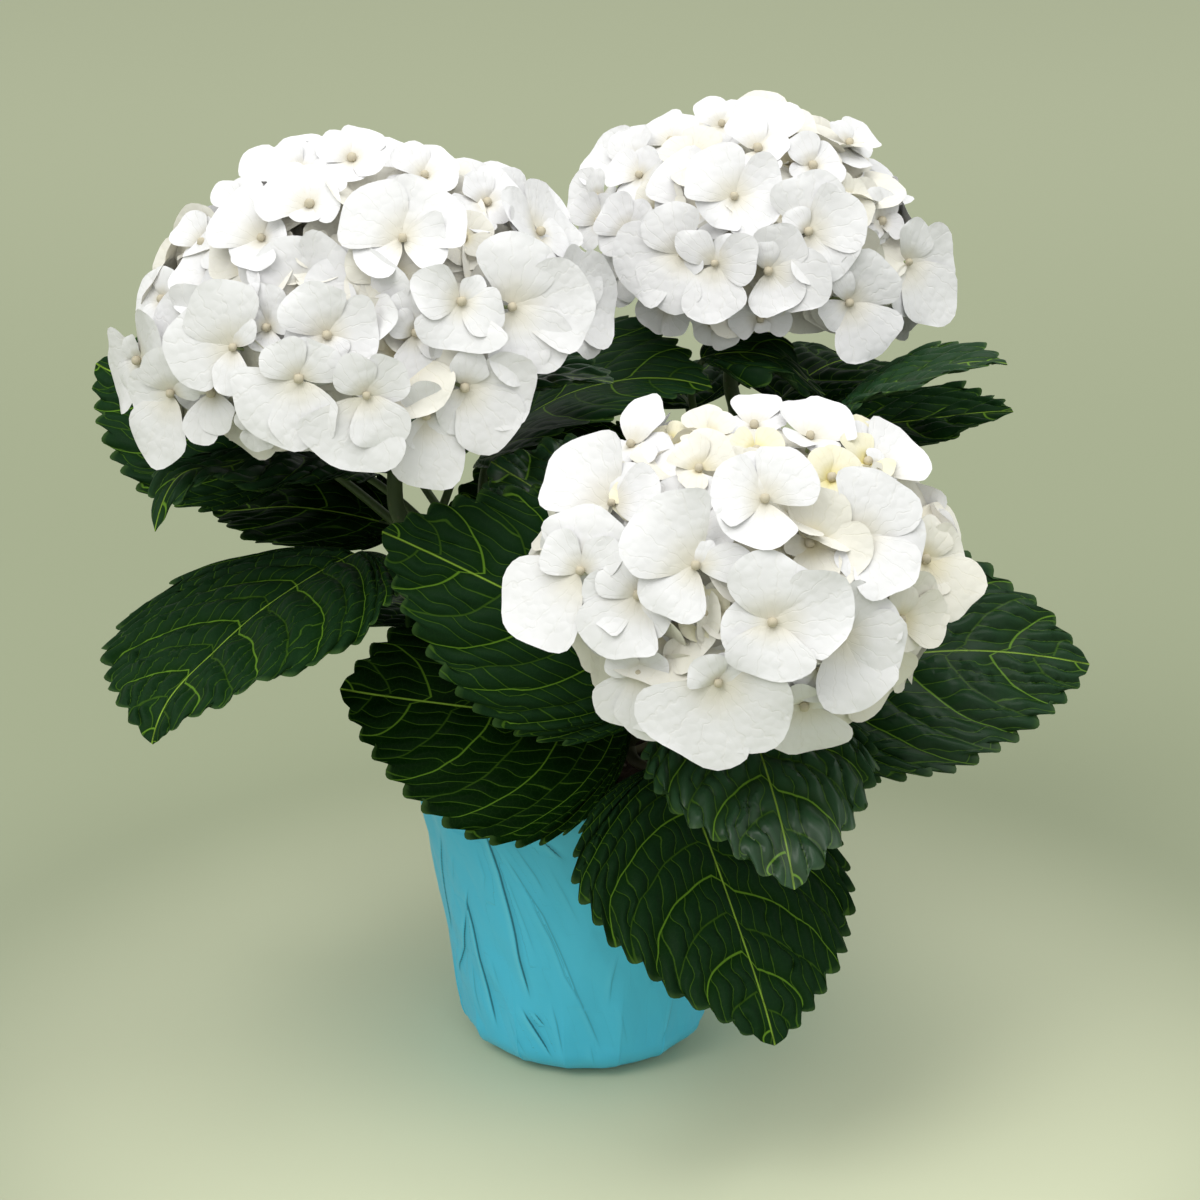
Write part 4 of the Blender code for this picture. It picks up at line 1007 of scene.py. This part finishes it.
# ---- Flower heads --------------------------------------------------------------------------
# The listed florets on the side that is seen first, one to a row: its place from its
# head's middle in millimetres (x, y, z), the way it faces, its four sepals (bearing in
# degrees, length in millimetres, half width as a share of that), its kind and how deeply it
# is cupped.
FLORET_ROWS = {
    "left": """
-40.9 -59.0  15.2  -.26 -.90  .36    9 25.0 .58  91 17.9 .36 245 13.1 .40 295 24.2 .58  0 .25
-29.0 -55.1  21.3  -.20 -.88  .42   90  9.6 .58 208 12.1 .40 281 16.1 .50 340  9.8 .45  0 .45
 -6.7 -65.4  22.2  -.04 -.92  .39    2 15.5 .58 116 10.6 .50 185 19.8 .58 298 19.8 .58  0 .30
-16.5 -75.2   9.5  -.09 -.96  .27   49 26.5 .62 101 26.0 .45 228 16.4 .55 308 16.4 .50  0 .15
  7.6 -78.7   4.5   .06 -.98  .21   73 28.4 .60 113 20.2 .50 217 17.1 .50 298 15.7 .50  0 .22
 28.2 -72.0  -5.6   .21 -.97  .10   64 13.3 .32  89 26.5 .50 135 10.6 .30 280 14.6 .45  0 .45
 42.0 -67.6   3.2   .28 -.94  .18   71 16.7 .50 123 25.5 .50 172 25.9 .52 254 13.8 .50  0 .25
 24.6 -61.2  21.6   .17 -.91  .37   96 16.8 .50 154 12.7 .50 281 15.9 .50 326 10.6 .50  0 .30
 16.2 -48.5  37.9   .10 -.83  .55   30 18.4 .55  86 14.9 .50 203 16.7 .60 314 18.0 .60  1 .30
 41.1 -58.7  32.6   .26 -.86  .44   75 19.6 .75 147 16.1 .55 224 11.6 .35 337 18.9 .50  0 .30
 58.9 -53.2  28.5   .36 -.85  .39   89 28.3 .36 124 27.7 .40 177 31.4 .50 252 27.5 .50  0 .15
 19.8 -43.1  50.8   .12 -.72  .68   17 19.7 .60 162 16.8 .60 219 25.0 .60 317 23.9 .60  0 .22
-14.1 -29.8  59.1  -.16 -.55  .82   83  9.0 .60 183 12.4 .60 269 16.6 .60 346 19.6 .60  0 .35
-65.4 -45.0  -7.7  -.48 -.86  .16   18 19.5 .50  75 28.3 .42 223 14.4 .50 293 17.2 .50  0 .30
-49.9 -53.1  -4.4  -.37 -.91  .18   77 20.9 .30 111 14.8 .50 234 13.6 .50 322 10.5 .45  0 .35
-80.1 -16.1  -5.9  -.85 -.50  .13   33 24.5 .60  75 17.5 .50 214 26.9 .50 307 10.0 .60  0 .25
-32.8 -62.9 -11.5  -.29 -.96  .03   86 12.4 .45 137  9.6 .40 260 12.4 .50 341  8.0 .50  0 .30
   .0  -4.6  68.4  -.03 -.51  .86   74 14.2 .50 158 14.2 .50 242 13.6 .60 330 13.4 .55  0 .45
 26.4  -3.6  61.5   .17 -.52  .84   44 16.2 .50 130 12.5 .50 221 13.7 .55 301 14.2 .55  0 .45
 49.1  -7.0  52.2   .39 -.53  .76   26 17.5 .50 118 11.7 .50 204 15.5 .60 281 12.3 .55  0 .40
 40.8 -25.0  44.8   .31 -.68  .67   36 12.2 .50 130 10.2 .50 210 12.1 .50 316 10.2 .50  1 .50
-19.1  -8.1  64.7  -.16 -.55  .82   71 10.0 .50 160 12.5 .50 253 12.0 .55 325 12.4 .50  0 .40
-41.5  -8.8  52.2  -.32 -.56  .76   95  9.8 .50 174 13.8 .50 260 11.8 .55 341 11.6 .50  0 .40
-55.5  -6.2  36.3  -.45 -.58  .67   83  9.2 .50 173 16.4 .50 247 11.6 .50 335 13.9 .55  0 .35
-70.9  -9.0  15.3  -.63 -.61  .48    3 14.1 .60  89 11.3 .50 186 16.9 .50 275 12.2 .50  0 .30
  7.4 -25.8  53.3   .02 -.64  .77   53 12.2 .50 128 12.8 .50 225  9.1 .50 324 10.9 .50  1 .50
-31.6 -32.9  47.4  -.29 -.64  .71   55 13.8 .50  96 15.0 .50 202 10.3 .60 333 21.6 .60  0 .35
-35.8 -29.8  37.4  -.32 -.69  .65   90 12.6 .60 174 20.3 .60 260  9.5 .50 360 15.7 .60  1 .50
 -6.6 -38.8  40.7  -.08 -.76  .65   46 14.3 .60 135 11.7 .50 236 10.5 .50 335 11.6 .60  1 .60
 68.2  -7.4  40.9   .71 -.31  .63    2 20.2 .60 136 13.0 .60 194 22.7 .60 316 20.8 .60  0 .25
 76.2 -15.6  17.4   .81 -.50  .31    3 21.1 .50 127 27.1 .45 163 31.6 .55 203 24.7 .50  0 .15
""",
    "right": """
-11.0 -45.1  42.4  -.09 -.81  .58   46 14.5 .65 137 18.6 .55 194 20.0 .60 314 21.4 .60  0 .22
-30.6 -55.2  22.8  -.25 -.90  .35   16 26.0 .60  70 22.2 .55 148  9.5 .40 298 20.9 .50  0 .20
-18.5 -58.6  20.5  -.17 -.93  .34   93 22.5 .50 193 17.7 .50 231 13.4 .40 321 17.2 .36  0 .35
  1.6 -59.5  17.8   .00 -.95  .32  108 17.4 .55 164 23.9 .50 246 19.1 .50 280 13.4 .36  0 .35
 32.5 -57.6   4.5   .27 -.94  .20   36 13.4 .45 116 24.2 .50 228 21.9 .55 287 13.6 .30  0 .30
 16.8 -52.8  31.1   .14 -.87  .47  114 21.1 .60 199 22.5 .55 268 23.2 .55 315 11.2 .50  0 .22
 56.4 -28.2  10.3   .67 -.68  .31   67 21.1 .35 110 27.7 .50 163 24.5 .60 241 16.8 .55  0 .25
-50.4 -33.0  24.2  -.55 -.73  .41   28 13.6 .55 115  8.0 .45 243 13.7 .50 325 15.8 .55  0 .30
  -.9 -56.3  -2.2  -.03 -1.00  .06    8 12.4 .50 109  5.9 .50 177 12.2 .50 271  7.9 .50  0 .20
-51.8 -33.0   9.5  -.65 -.73  .20   73 14.9 .55 128 13.4 .50 226  8.8 .50 360 11.1 .50  0 .25
-27.3 -14.9  47.3  -.32 -.47  .82   80 10.9 .50 134 17.2 .50 255 15.1 .60 344 11.8 .60  1 .45
-46.3  -6.3  38.0  -.49 -.57  .66   97 12.8 .50 167 17.8 .50 269 11.8 .50 358 13.8 .55  0 .40
-14.5   4.5  55.0  -.13 -.44  .89   80 15.0 .50 145 16.8 .50 238 12.1 .55 318 13.6 .50  0 .45
 19.5 -22.5  47.1   .20 -.66  .73   38 10.7 .50 124 13.3 .50 209 11.4 .55 294 13.5 .50  0 .40
 32.6 -26.3  34.2   .32 -.73  .60   38 11.9 .50 118 12.5 .50 198 10.5 .50 279 10.7 .50  1 .35
-61.8 -10.2  20.7  -.66 -.63  .41   66 12.2 .50 165 15.1 .50 248 12.3 .50 337 14.1 .50  0 .30
-38.2 -26.1  32.9  -.42 -.71  .57   74 10.8 .50 156 13.3 .50 235 10.1 .50 340 11.1 .50  1 .40
 -1.5 -20.4  53.2   .01 -.50  .87   85 16.5 .50 172 12.4 .50 253 24.0 .50 296 16.2 .50  0 .45
 46.2 -20.7  24.2   .59 -.60  .54   26 11.9 .50 142 10.6 .50 235 13.5 .50 299 13.9 .55  0 .35
-49.8  12.7  35.8  -.61 -.35  .71    6 24.7 .55  79 11.3 .50 194 15.0 .50 314 18.1 .55  0 .30
-33.6  18.5  43.6  -.41 -.30  .86  112 14.6 .50 181 21.1 .50 280 14.3 .55 349 17.5 .55  0 .35
-62.4   7.6  23.9  -.76 -.42  .50    6 17.9 .55  94  9.9 .50 185 15.4 .50 299 11.3 .50  0 .30
-36.5 -44.7  -1.7  -.46 -.89  .04   38 12.8 .55 141 12.5 .55 216 12.5 .50 319  9.4 .50  0 .25
-18.8 -51.5  -5.6  -.26 -.97 -.02   60 10.0 .55 144 12.3 .55 233  9.8 .50 326  9.0 .50  0 .20
 35.2  12.7  44.8   .46 -.21  .86   11 20.2 .50  81 10.4 .50 178 16.3 .50 247 11.4 .50  0 .30
""",
    "front": """
-48.6 -18.3  41.4  -.30 -.69  .66   12 21.4 .40 200 19.3 .50 252 15.8 .40 327 28.4 .55  0 .25
-59.5 -37.7  24.0  -.34 -.82  .45   46 33.0 .50 222 17.0 .40 274 23.7 .58 329 17.0 .45  0 .12
-39.4 -45.6  18.3  -.22 -.88  .42   17 19.6 .55  65 24.6 .55 136 16.0 .50 320 16.3 .50  0 .20
-19.7 -48.2  30.6  -.09 -.86  .51   54 22.5 .50 188 20.3 .30 241 10.6 .30 317 27.0 .66  0 .28
  4.2 -38.3  51.3   .05 -.73  .69   71 19.4 .65 224 21.2 .55 281 17.9 .50 346 19.5 .60  0 .25
 20.1 -35.2  33.4   .14 -.80  .59    7  9.0 .45  95 17.3 .50 151 21.5 .55 247 19.8 .55  1 .40
  6.6 -59.8  14.4   .03 -.92  .38   12 17.9 .55  83 20.2 .70 192 28.3 .52 273 24.3 .58  0 .15
-11.8 -63.4  -6.8  -.07 -.98  .20   61 30.9 .60 144 28.5 .56 221 12.5 .62 311 11.2 .70  0 .20
 31.5 -49.5   4.5   .20 -.92  .33  101 28.0 .45 159 23.0 .55 216 21.3 .55 273 12.8 .35  0 .30
 37.2 -32.5  34.4   .28 -.73  .62   64 16.3 .40 117 25.6 .45 186 24.9 .60 229 26.2 .55  0 .30
-16.6 -48.3  12.7  -.08 -.91  .40   45 10.6 .60 133  9.6 .50 226  9.6 .55 324 10.8 .60  2 .50
 43.5  25.3  39.1   .41 -.28  .87    8 16.8 .55 101 10.6 .60 189 21.8 .60 261 12.8 .60  2 .45
 28.9  -7.7  46.6   .21 -.61  .76   35 14.2 .60 117 11.5 .60 223 12.6 .60 311 11.5 .60  2 .50
 46.8  24.8  37.2   .45 -.29  .85  146  9.4 .50 176 22.4 .60 208 22.3 .55 228  7.9 .50  0 .40
 62.2 -13.5  17.8   .53 -.67  .52   66 15.0 .50 116 25.4 .50 182 17.9 .50 232 15.6 .50  1 .30
  2.7   4.3  52.0   .05 -.47  .88   63 12.3 .40 109 10.7 .40 208 10.0 .60 338  9.9 .60  2 .80
-27.6  25.1  47.4  -.22 -.35  .91   42  8.4 .50 162 11.1 .50 217 12.8 .50 317  8.0 .50  2 .55
-41.5  22.5  47.0  -.35 -.34  .87   34  9.2 .40 114 12.0 .40 168 14.6 .30 285 21.7 .38  0 .20
-14.1  20.7  51.7  -.10 -.35  .93   14 13.3 .50 146 11.8 .50 196 18.1 .50 300 11.1 .50  1 .50
  2.9  33.6  49.8   .04 -.21  .98   84  9.6 .50 175 15.4 .50 296 12.2 .50 355 16.4 .50  0 .50
 22.8  27.1  48.2   .22 -.23  .95   10 18.6 .50 140 12.4 .50 214 13.4 .50 325 20.0 .55  0 .45
-38.9 -50.2  -9.0  -.33 -.94  .07   73 23.1 .50 105 24.7 .45 230 12.3 .50 328 12.5 .50  0 .20
 18.6 -50.6 -21.3   .15 -.99  .00   58 16.6 .60  99 22.1 .62 169 12.5 .55 291 12.1 .50  0 .20
 24.3 -49.9  -7.6   .19 -.96  .19   55 13.4 .55 128 10.9 .50 230 12.3 .45 349 12.7 .50  0 .20
-21.6 -48.8  -4.9  -.14 -.96  .23   54  7.6 .40 111 11.4 .40 200 15.1 .50 320 10.2 .50  1 .30
 52.7 -34.7   4.2   .51 -.80  .31  103 12.0 .50 166 18.5 .50 201 19.8 .50 260 13.9 .40  1 .25
-18.0 -13.3  52.3  -.10 -.58  .81   13  8.2 .50  78 10.0 .50 245 15.3 .60 307 12.1 .60  1 .35
-40.9 -17.2  42.2  -.23 -.71  .66   65  8.2 .60 149 10.2 .60 231  8.5 .60 331  8.5 .60  2 .45
""",
}
FLORET_NUMBERS = 20  # in a row

# Others that lie nearer than these to a listed floret are left out, sunk and given the cream
# kind as painted shade, or sunk if they face the front.
HIDDEN, BEHIND, BESIDE = 0.010, 0.016, 0.030
INNER_DEPTH = 0.018  # how far in the inner layer of florets lies
RAYS = 11  # main stalks inside a head

FRONT = np.array([0.0, -0.914, 0.407])  # out of the side that is seen first


def head_axes(head):
    """The head's own axes, with its lean: across, away, and out of its top."""
    right, front = (math.radians(a) for a in head["lean"])
    top = unit([math.sin(right), -math.sin(front), math.cos(right) * math.cos(front)])
    across = np.array([1.0, 0.0, 0.0])
    across = unit(across - top * (across @ top))
    return across, np.cross(top, across), top


def dome(head, way):
    """Point and facing on the dome in a direction of its own axes: radii times the direction
    times 1 - SHOULDER (2 height ring)^2, the ring being the direction's share sideways."""
    axes = np.stack(head_axes(head))
    radii = np.array(head["radii"])
    height = way[..., 2]
    fall = 1 - SHOULDER * (2 * height * np.sqrt(np.maximum(0, 1 - height**2))) ** 2
    scaled = way * radii * fall[..., None]
    return np.array(head["middle"]) + scaled @ axes, unit((way / radii) @ axes)


def spiral(height):
    """Directions that go down through those heights, each a golden angle on from the last."""
    turn = GOLDEN * np.arange(len(height))
    ring = np.sqrt(np.maximum(0.0, 1 - height**2))
    return np.stack([ring * np.cos(turn), ring * np.sin(turn), height], -1)


def floret_ways(count, skirt):
    """Directions of that many florets, evenly spread from the top down to the skirt."""
    lowest = math.cos(math.radians(skirt))
    return spiral(1 - (1 - lowest) * (np.arange(count) + 0.5) / count)


def disc(steps):
    """A square grid pressed into a round one: x sqrt(1 - y^2 / 2), y sqrt(1 - x^2 / 2)."""
    line = np.linspace(-1, 1, steps + 1)
    y, x = np.meshgrid(line, line, indexing="ij")
    return x * np.sqrt(1 - y * y / 2), y * np.sqrt(1 - x * x / 2)


def across_axes(facings):
    """Two unit directions square to each facing and to each other."""
    fixed = np.where(np.abs(facings[:, 2:]) < 0.9, [[0.0, 0.0, 1.0]], [[1.0, 0.0, 0.0]])
    side = unit(np.cross(facings, fixed))
    return side, np.cross(facings, side)


def add_florets(piece, spots, facings, sepals, cups, kinds, rng):
    """Florets of four broad, nearly round sepals in two pairs, one lapping over the other.
    sepals holds the bearing, length and breadth of each. A sepal is a disc with a slightly
    wavy rim, drawn in towards its claw. Its height is length (0.5 cup a^1.2 + dish x^2 +
    twist x + ripple a - curl), a being the share of the way out and x the share across, the
    ripple two sine waves round its rim, and the curl the fall of its tip."""
    n = len(spots)
    side, other = across_axes(facings)
    px, py = disc(SEPAL_STEPS)
    rim = px**2 + py**2

    def drawn(low, high):
        return rng.uniform(low, high, (n, 4))[..., None, None]

    turn = np.arctan2(px, py)
    wobble = 0.05 * np.sin(2 * turn + drawn(0, FULL_TURN))
    wobble = wobble + 0.045 * np.sin(3 * turn + drawn(0, FULL_TURN))
    wobble = 1 + rim * (wobble + 0.025 * np.sin(5 * turn + drawn(0, FULL_TURN)))
    angle = sepals[..., 0, None]
    out = side[:, None] * np.cos(angle) + other[:, None] * np.sin(angle)
    wide = np.cross(facings[:, None], out)
    scale = sepals[..., 1, None, None]
    a = (py + 1) / 2
    x = px * wobble * sepals[..., 2, None, None] * (0.80 + 0.34 * smooth(a, 0.0, 0.55))
    cup = cups[:, None, None, None] + drawn(-0.06, 0.06)
    ripple = 0.028 * rim**2 * np.sin(3 * turn + drawn(0, FULL_TURN))
    ripple = ripple + 0.014 * rim**2 * np.sin(7 * turn + drawn(0, FULL_TURN))
    curl = drawn(0.0, 0.08) * smooth(a, 0.5, 1.0) ** 2
    height = cup * 0.5 * a**1.2 + drawn(-0.06, 0.34) * x**2 + drawn(-0.02, 0.08) * x
    height = height + ripple * a - curl
    layer = np.array([0.0, 0.0011, 0.0004, 0.0015])[:, None, None] * smooth(a, 0.0, 0.3)
    reach = scale * (0.045 + a * 0.955 * (1 + (wobble - 1) * 0.7))
    lift = scale * height + layer
    base = spots[:, None, None, None] + out[:, :, None, None] * reach[..., None]
    base = base + wide[:, :, None, None] * (scale * x)[..., None]
    normal = facings[:, None, None, None]
    thick = SEPAL / 2 * (1 - rim**4)
    faces = grid(*px.shape)
    many = faces[None] + np.arange(n * 4)[:, None, None] * px.size
    place = np.broadcast_to(np.stack([px, a], -1), (n, 4, *px.shape, 2))
    kind = np.repeat(kinds, 4 * len(faces))
    for sign, turned in ((1, many), (-1, many[..., ::-1])):
        points = base + normal * (lift + sign * thick)[..., None]
        piece.add(points, turned, kind, sepal=place)


def add_hearts(piece, spots, facings, sizes):
    """The round bud in the middle of each floret: a ball 0.9 high, split in four by a shallow
    cross, with a radius of 1 - 0.1 |cos 2a| sin b at bearing a and b down from its top."""
    n = len(spots)
    side, other = across_axes(facings)
    b = np.linspace(0, np.pi, BUD_RINGS)[:, None]
    a = 2 * np.pi * np.arange(BUD_SIDES + 1) / BUD_SIDES
    a[-1] = 0.0
    r = 1 - 0.10 * np.abs(np.cos(a * 2)) * np.sin(b)
    x, y, z = np.sin(b) * np.cos(a) * r, np.sin(b) * np.sin(a) * r, np.cos(b) * 0.9 + 0 * a
    size = sizes[:, None, None, None]
    points = side[:, None, None] * x[..., None] + other[:, None, None] * y[..., None]
    points = points + facings[:, None, None] * z[..., None]
    points = spots[:, None, None] + size * points
    faces = grid(*x.shape)[None] + np.arange(n)[:, None, None] * x.size
    piece.add(points, faces, BUD, sepal=np.broadcast_to([0.0, 0.6], (n, *x.shape, 2)))


def head_piece(name, head, paints):
    """A head of florets. Its front ones are listed, and those low on it droop. The rest
    are spread over the dome: those that would meet a set one are left out or sunk behind it,
    those along its ridge, where it turns from view, look more to the front, those low in
    front are sunk and raised, and a sparser inner layer closes the gaps. Gives the place and
    facing of each."""
    rng = np.random.default_rng(head["seed"])
    middle = np.array(head["middle"])
    rows = np.array(FLORET_ROWS[name].split(), float).reshape(-1, FLORET_NUMBERS)
    set_spots = middle + 0.001 * rows[:, :3]
    set_facings = rows[:, 3:6]
    droop = 0.40 * smooth(middle[2] - set_spots[:, 2], 0.0, 0.030)
    set_facings = unit(set_facings - droop[:, None] * [0.0, 0.0, 1.0])
    set_sepals = rows[:, 6:18].reshape(-1, 4, 3) * [math.pi / 180, 0.001, 1.0]
    set_kinds, set_cups = rows[:, 18].astype(int), rows[:, 19]

    ways = floret_ways(head["florets"], head["skirt"])
    n = len(ways)
    spots, normals = dome(head, ways)
    depth = np.array([0.003, 0.010, 0.006])[np.arange(n) % 3]
    near = np.linalg.norm(spots[:, None] - set_spots[None], axis=-1).min(axis=1)
    behind = near < BEHIND
    turned = normals @ FRONT
    depth = np.where(behind, depth + 0.005, depth)
    depth = np.where((near < BESIDE) & (turned > 0.1), np.maximum(depth, 0.010), depth)
    tilt = np.where(behind, 0.35, 0.24)[:, None]
    facings = normals + rng.uniform(-1, 1, (n, 3)) * tilt
    ridge = np.exp(-(((turned + 0.02) / 0.28) ** 2)) * smooth(normals[:, 2], 0.2, 0.7)
    facings = unit(facings + 0.7 * ridge[:, None] * FRONT)
    skirt = smooth(normals[:, 2], 0.30, 0.05) * smooth(-normals[:, 1], -0.35, 0.05)
    depth = depth + 0.003 * ridge + 0.011 * skirt
    spots = spots - normals * depth[:, None] + [0.0, 0.0, 0.007] * skirt[:, None]
    sizes = head["size"] * rng.uniform(0.92, 1.10, n)
    cups = rng.uniform(0.20, 0.50, n) + 0.35 * smooth(ways[:, 2], 0.0, 0.8)
    cups = np.where((np.abs(turned) < 0.4) & (normals[:, 2] < 0.3), cups * 0.3, cups)
    cups = np.where(turned < 0, cups * smooth(np.abs(turned + 0.45), 0.10, 0.45), cups)
    # A fifth of the florets are cream at random; those sunk behind a listed floret get the cream
    # kind as painted shade.
    kinds = np.where((rng.uniform(size=n) < 0.2) | behind, CREAM_AND_SHADE, WHITE)
    if head["young"]:
        lit = ways @ unit(np.array([0.35, 0.15, 0.9])) + rng.uniform(-0.12, 0.12, n)
        kinds = np.where(lit > 0.93, YOUNG, np.where(lit > 0.62, CREAM_AND_SHADE, kinds))
        sizes = np.where(lit > 0.93, sizes * 0.85, sizes)

    deep = floret_ways(head["florets"] // 2, head["skirt"] - 14)
    deep_spots, deep_normals = dome(head, deep * np.array([-1.0, 1.0, 1.0]))
    m = len(deep)
    stay = near > HIDDEN
    spots = np.vstack([set_spots, spots[stay], deep_spots - deep_normals * INNER_DEPTH])
    facings = np.vstack([set_facings, facings[stay], deep_normals])
    sizes = np.concatenate([sizes[stay], np.full(m, head["size"] * 1.12)])
    cups = np.concatenate([set_cups, cups[stay], np.full(m, 0.30)])
    # The inner layer gets the cream kind as painted shade.
    kinds = np.concatenate([set_kinds, kinds[stay], np.full(m, CREAM_AND_SHADE)])
    n = len(sizes)
    turns = rng.uniform(0, np.pi / 2, (n, 1)) + np.pi / 2 * np.arange(4)
    bearings = turns + rng.uniform(-0.13, 0.13, (n, 4))
    lengths = sizes[:, None] * rng.uniform(0.9, 1.1, (n, 4))
    sepals = np.stack([bearings, lengths, rng.uniform(0.52, 0.64, (n, 4))], -1)
    sepals = np.vstack([set_sepals, sepals])
    piece = Piece("flower_head_" + name, paints, ["sepal"])
    add_florets(piece, spots, facings, sepals, cups, kinds, rng)
    hearts = rng.uniform(0.0016, 0.0021, len(spots))
    add_hearts(piece, spots + facings * 0.0014, facings, hearts)
    piece.made("petal", ["head_" + name])
    return spots, facings


def branches_piece(heads, green):
    """Under each head, its stalk runs on from the stem into a fork of main rays, and from the
    nearest ray's end a thin stalk curves out to every floret."""
    piece = Piece("flower_stalks", [green, twig_paint()])
    for name, (spots, facings) in heads.items():
        head = HEADS[name]
        top = head_axes(head)[2]
        middle = np.array(head["middle"])
        start = stem_heading(STEMS[name], 1.0)
        foot = np.array(STEMS[name]["top"])
        fork = middle - top * head["radii"][2] * 0.62
        reach = np.linalg.norm(middle - foot)
        path = bezier(foot, foot + start * reach * 0.2, fork - top * 0.02, fork, 16)
        piece.add(*tube(path, STEM_TOP_RADIUS * np.linspace(1.0, 0.82, 16), 14))
        height = 0.95 - 1.02 * (np.arange(RAYS) + 0.5) / RAYS
        ends = middle + (dome(head, spiral(height))[0] - middle) * 0.52
        for end in ends:
            path = bezier(fork, fork + (end - fork) * 0.4 + top * 0.004, end - top * 0.004, end, 7)
            piece.add(*tube(path, np.linspace(0.0019, 0.0012, 7), 8), finish=1)
        gap = np.linalg.norm(spots[:, None] - ends[None], axis=-1)
        for spot, facing, near in zip(spots, facings, np.argmin(gap, axis=1)):
            end = ends[near]
            path = bezier(end, end + (spot - end) * 0.4, spot - facing * 0.010, spot, 5)
            piece.add(*tube(path, np.linspace(0.0009, 0.0007, 5), 5), finish=1)
    piece.made("stem")


# ---- The room ------------------------------------------------------------------------------
def floor_piece():
    """A wide floor, just under the pot."""
    line = np.linspace(-9, 9, 19)
    x, y = np.meshgrid(line, line, indexing="ij")
    points = np.stack([x, y, np.full_like(x, -0.0002)], -1)
    mesh = bpy.data.meshes.new("backdrop")
    mesh.from_pydata(points.reshape(-1, 3).tolist(), [], grid(*x.shape).tolist())
    mesh.materials.append(floor_paint())
    obj = bpy.data.objects.new("backdrop", mesh)
    bpy.context.scene.collection.objects.link(obj)


def aimed(obj, place, target):
    """Puts a light or camera in its place, looking at the target."""
    obj.location = place
    obj.rotation_euler = (Vector(target) - Vector(place)).to_track_quat("-Z", "Y").to_euler()
    bpy.context.scene.collection.objects.link(obj)


def soft_light(name, place, size, watts, colour):
    light = bpy.data.lights.new(name, "AREA")
    light.shape = "DISK"
    light.size = size
    light.energy = watts
    light.color = colour
    aimed(bpy.data.objects.new(name, light), place, (0.0, 0.0, 0.18))


def room():
    """Pale even air, three soft lights, and a camera that looks down by 24 degrees."""
    scene = bpy.context.scene
    world = bpy.data.worlds.new("room")
    scene.world = world
    world.use_nodes = True
    air = world.node_tree.nodes["Background"]
    air.inputs["Color"].default_value = (0.965, 0.985, 0.955, 1)
    air.inputs["Strength"].default_value = 0.66
    soft_light("key", (-1.6, -1.5, 2.9), 2.4, 49.0, (1.0, 0.99, 0.975))
    soft_light("fill", (1.2, -3.0, 2.1), 2.6, 10.0, (0.985, 0.99, 1.0))
    soft_light("top", (0.4, 0.0, 3.0), 2.8, 43.0, (1.0, 1.0, 1.0))
    camera = bpy.data.cameras.new("camera")
    camera.sensor_width = 36.0
    camera.lens = 125.0
    tilt = math.radians(24)
    look = Vector((0.006, 0.0, 0.185))
    place = look + 1.6 * Vector((0.0, -math.cos(tilt), math.sin(tilt)))
    view = bpy.data.objects.new("camera", camera)
    aimed(view, place, look)
    scene.camera = view
    scene.view_settings.view_transform = "Standard"


# ---- The plant -----------------------------------------------------------------------------
floor_piece()
room()
film_piece()
soil_piece()
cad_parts["pot"].data.materials[0] = pot_paint()
stalk_green = stalk_paint()
stems_piece(stalk_green)
leaf_pieces(stalk_green)
petals = [petal_paint(name, *colours) for name, colours in PETALS.items()]
heads = {name: head_piece(name, head, petals) for name, head in HEADS.items()}
branches_piece(heads, stalk_green)
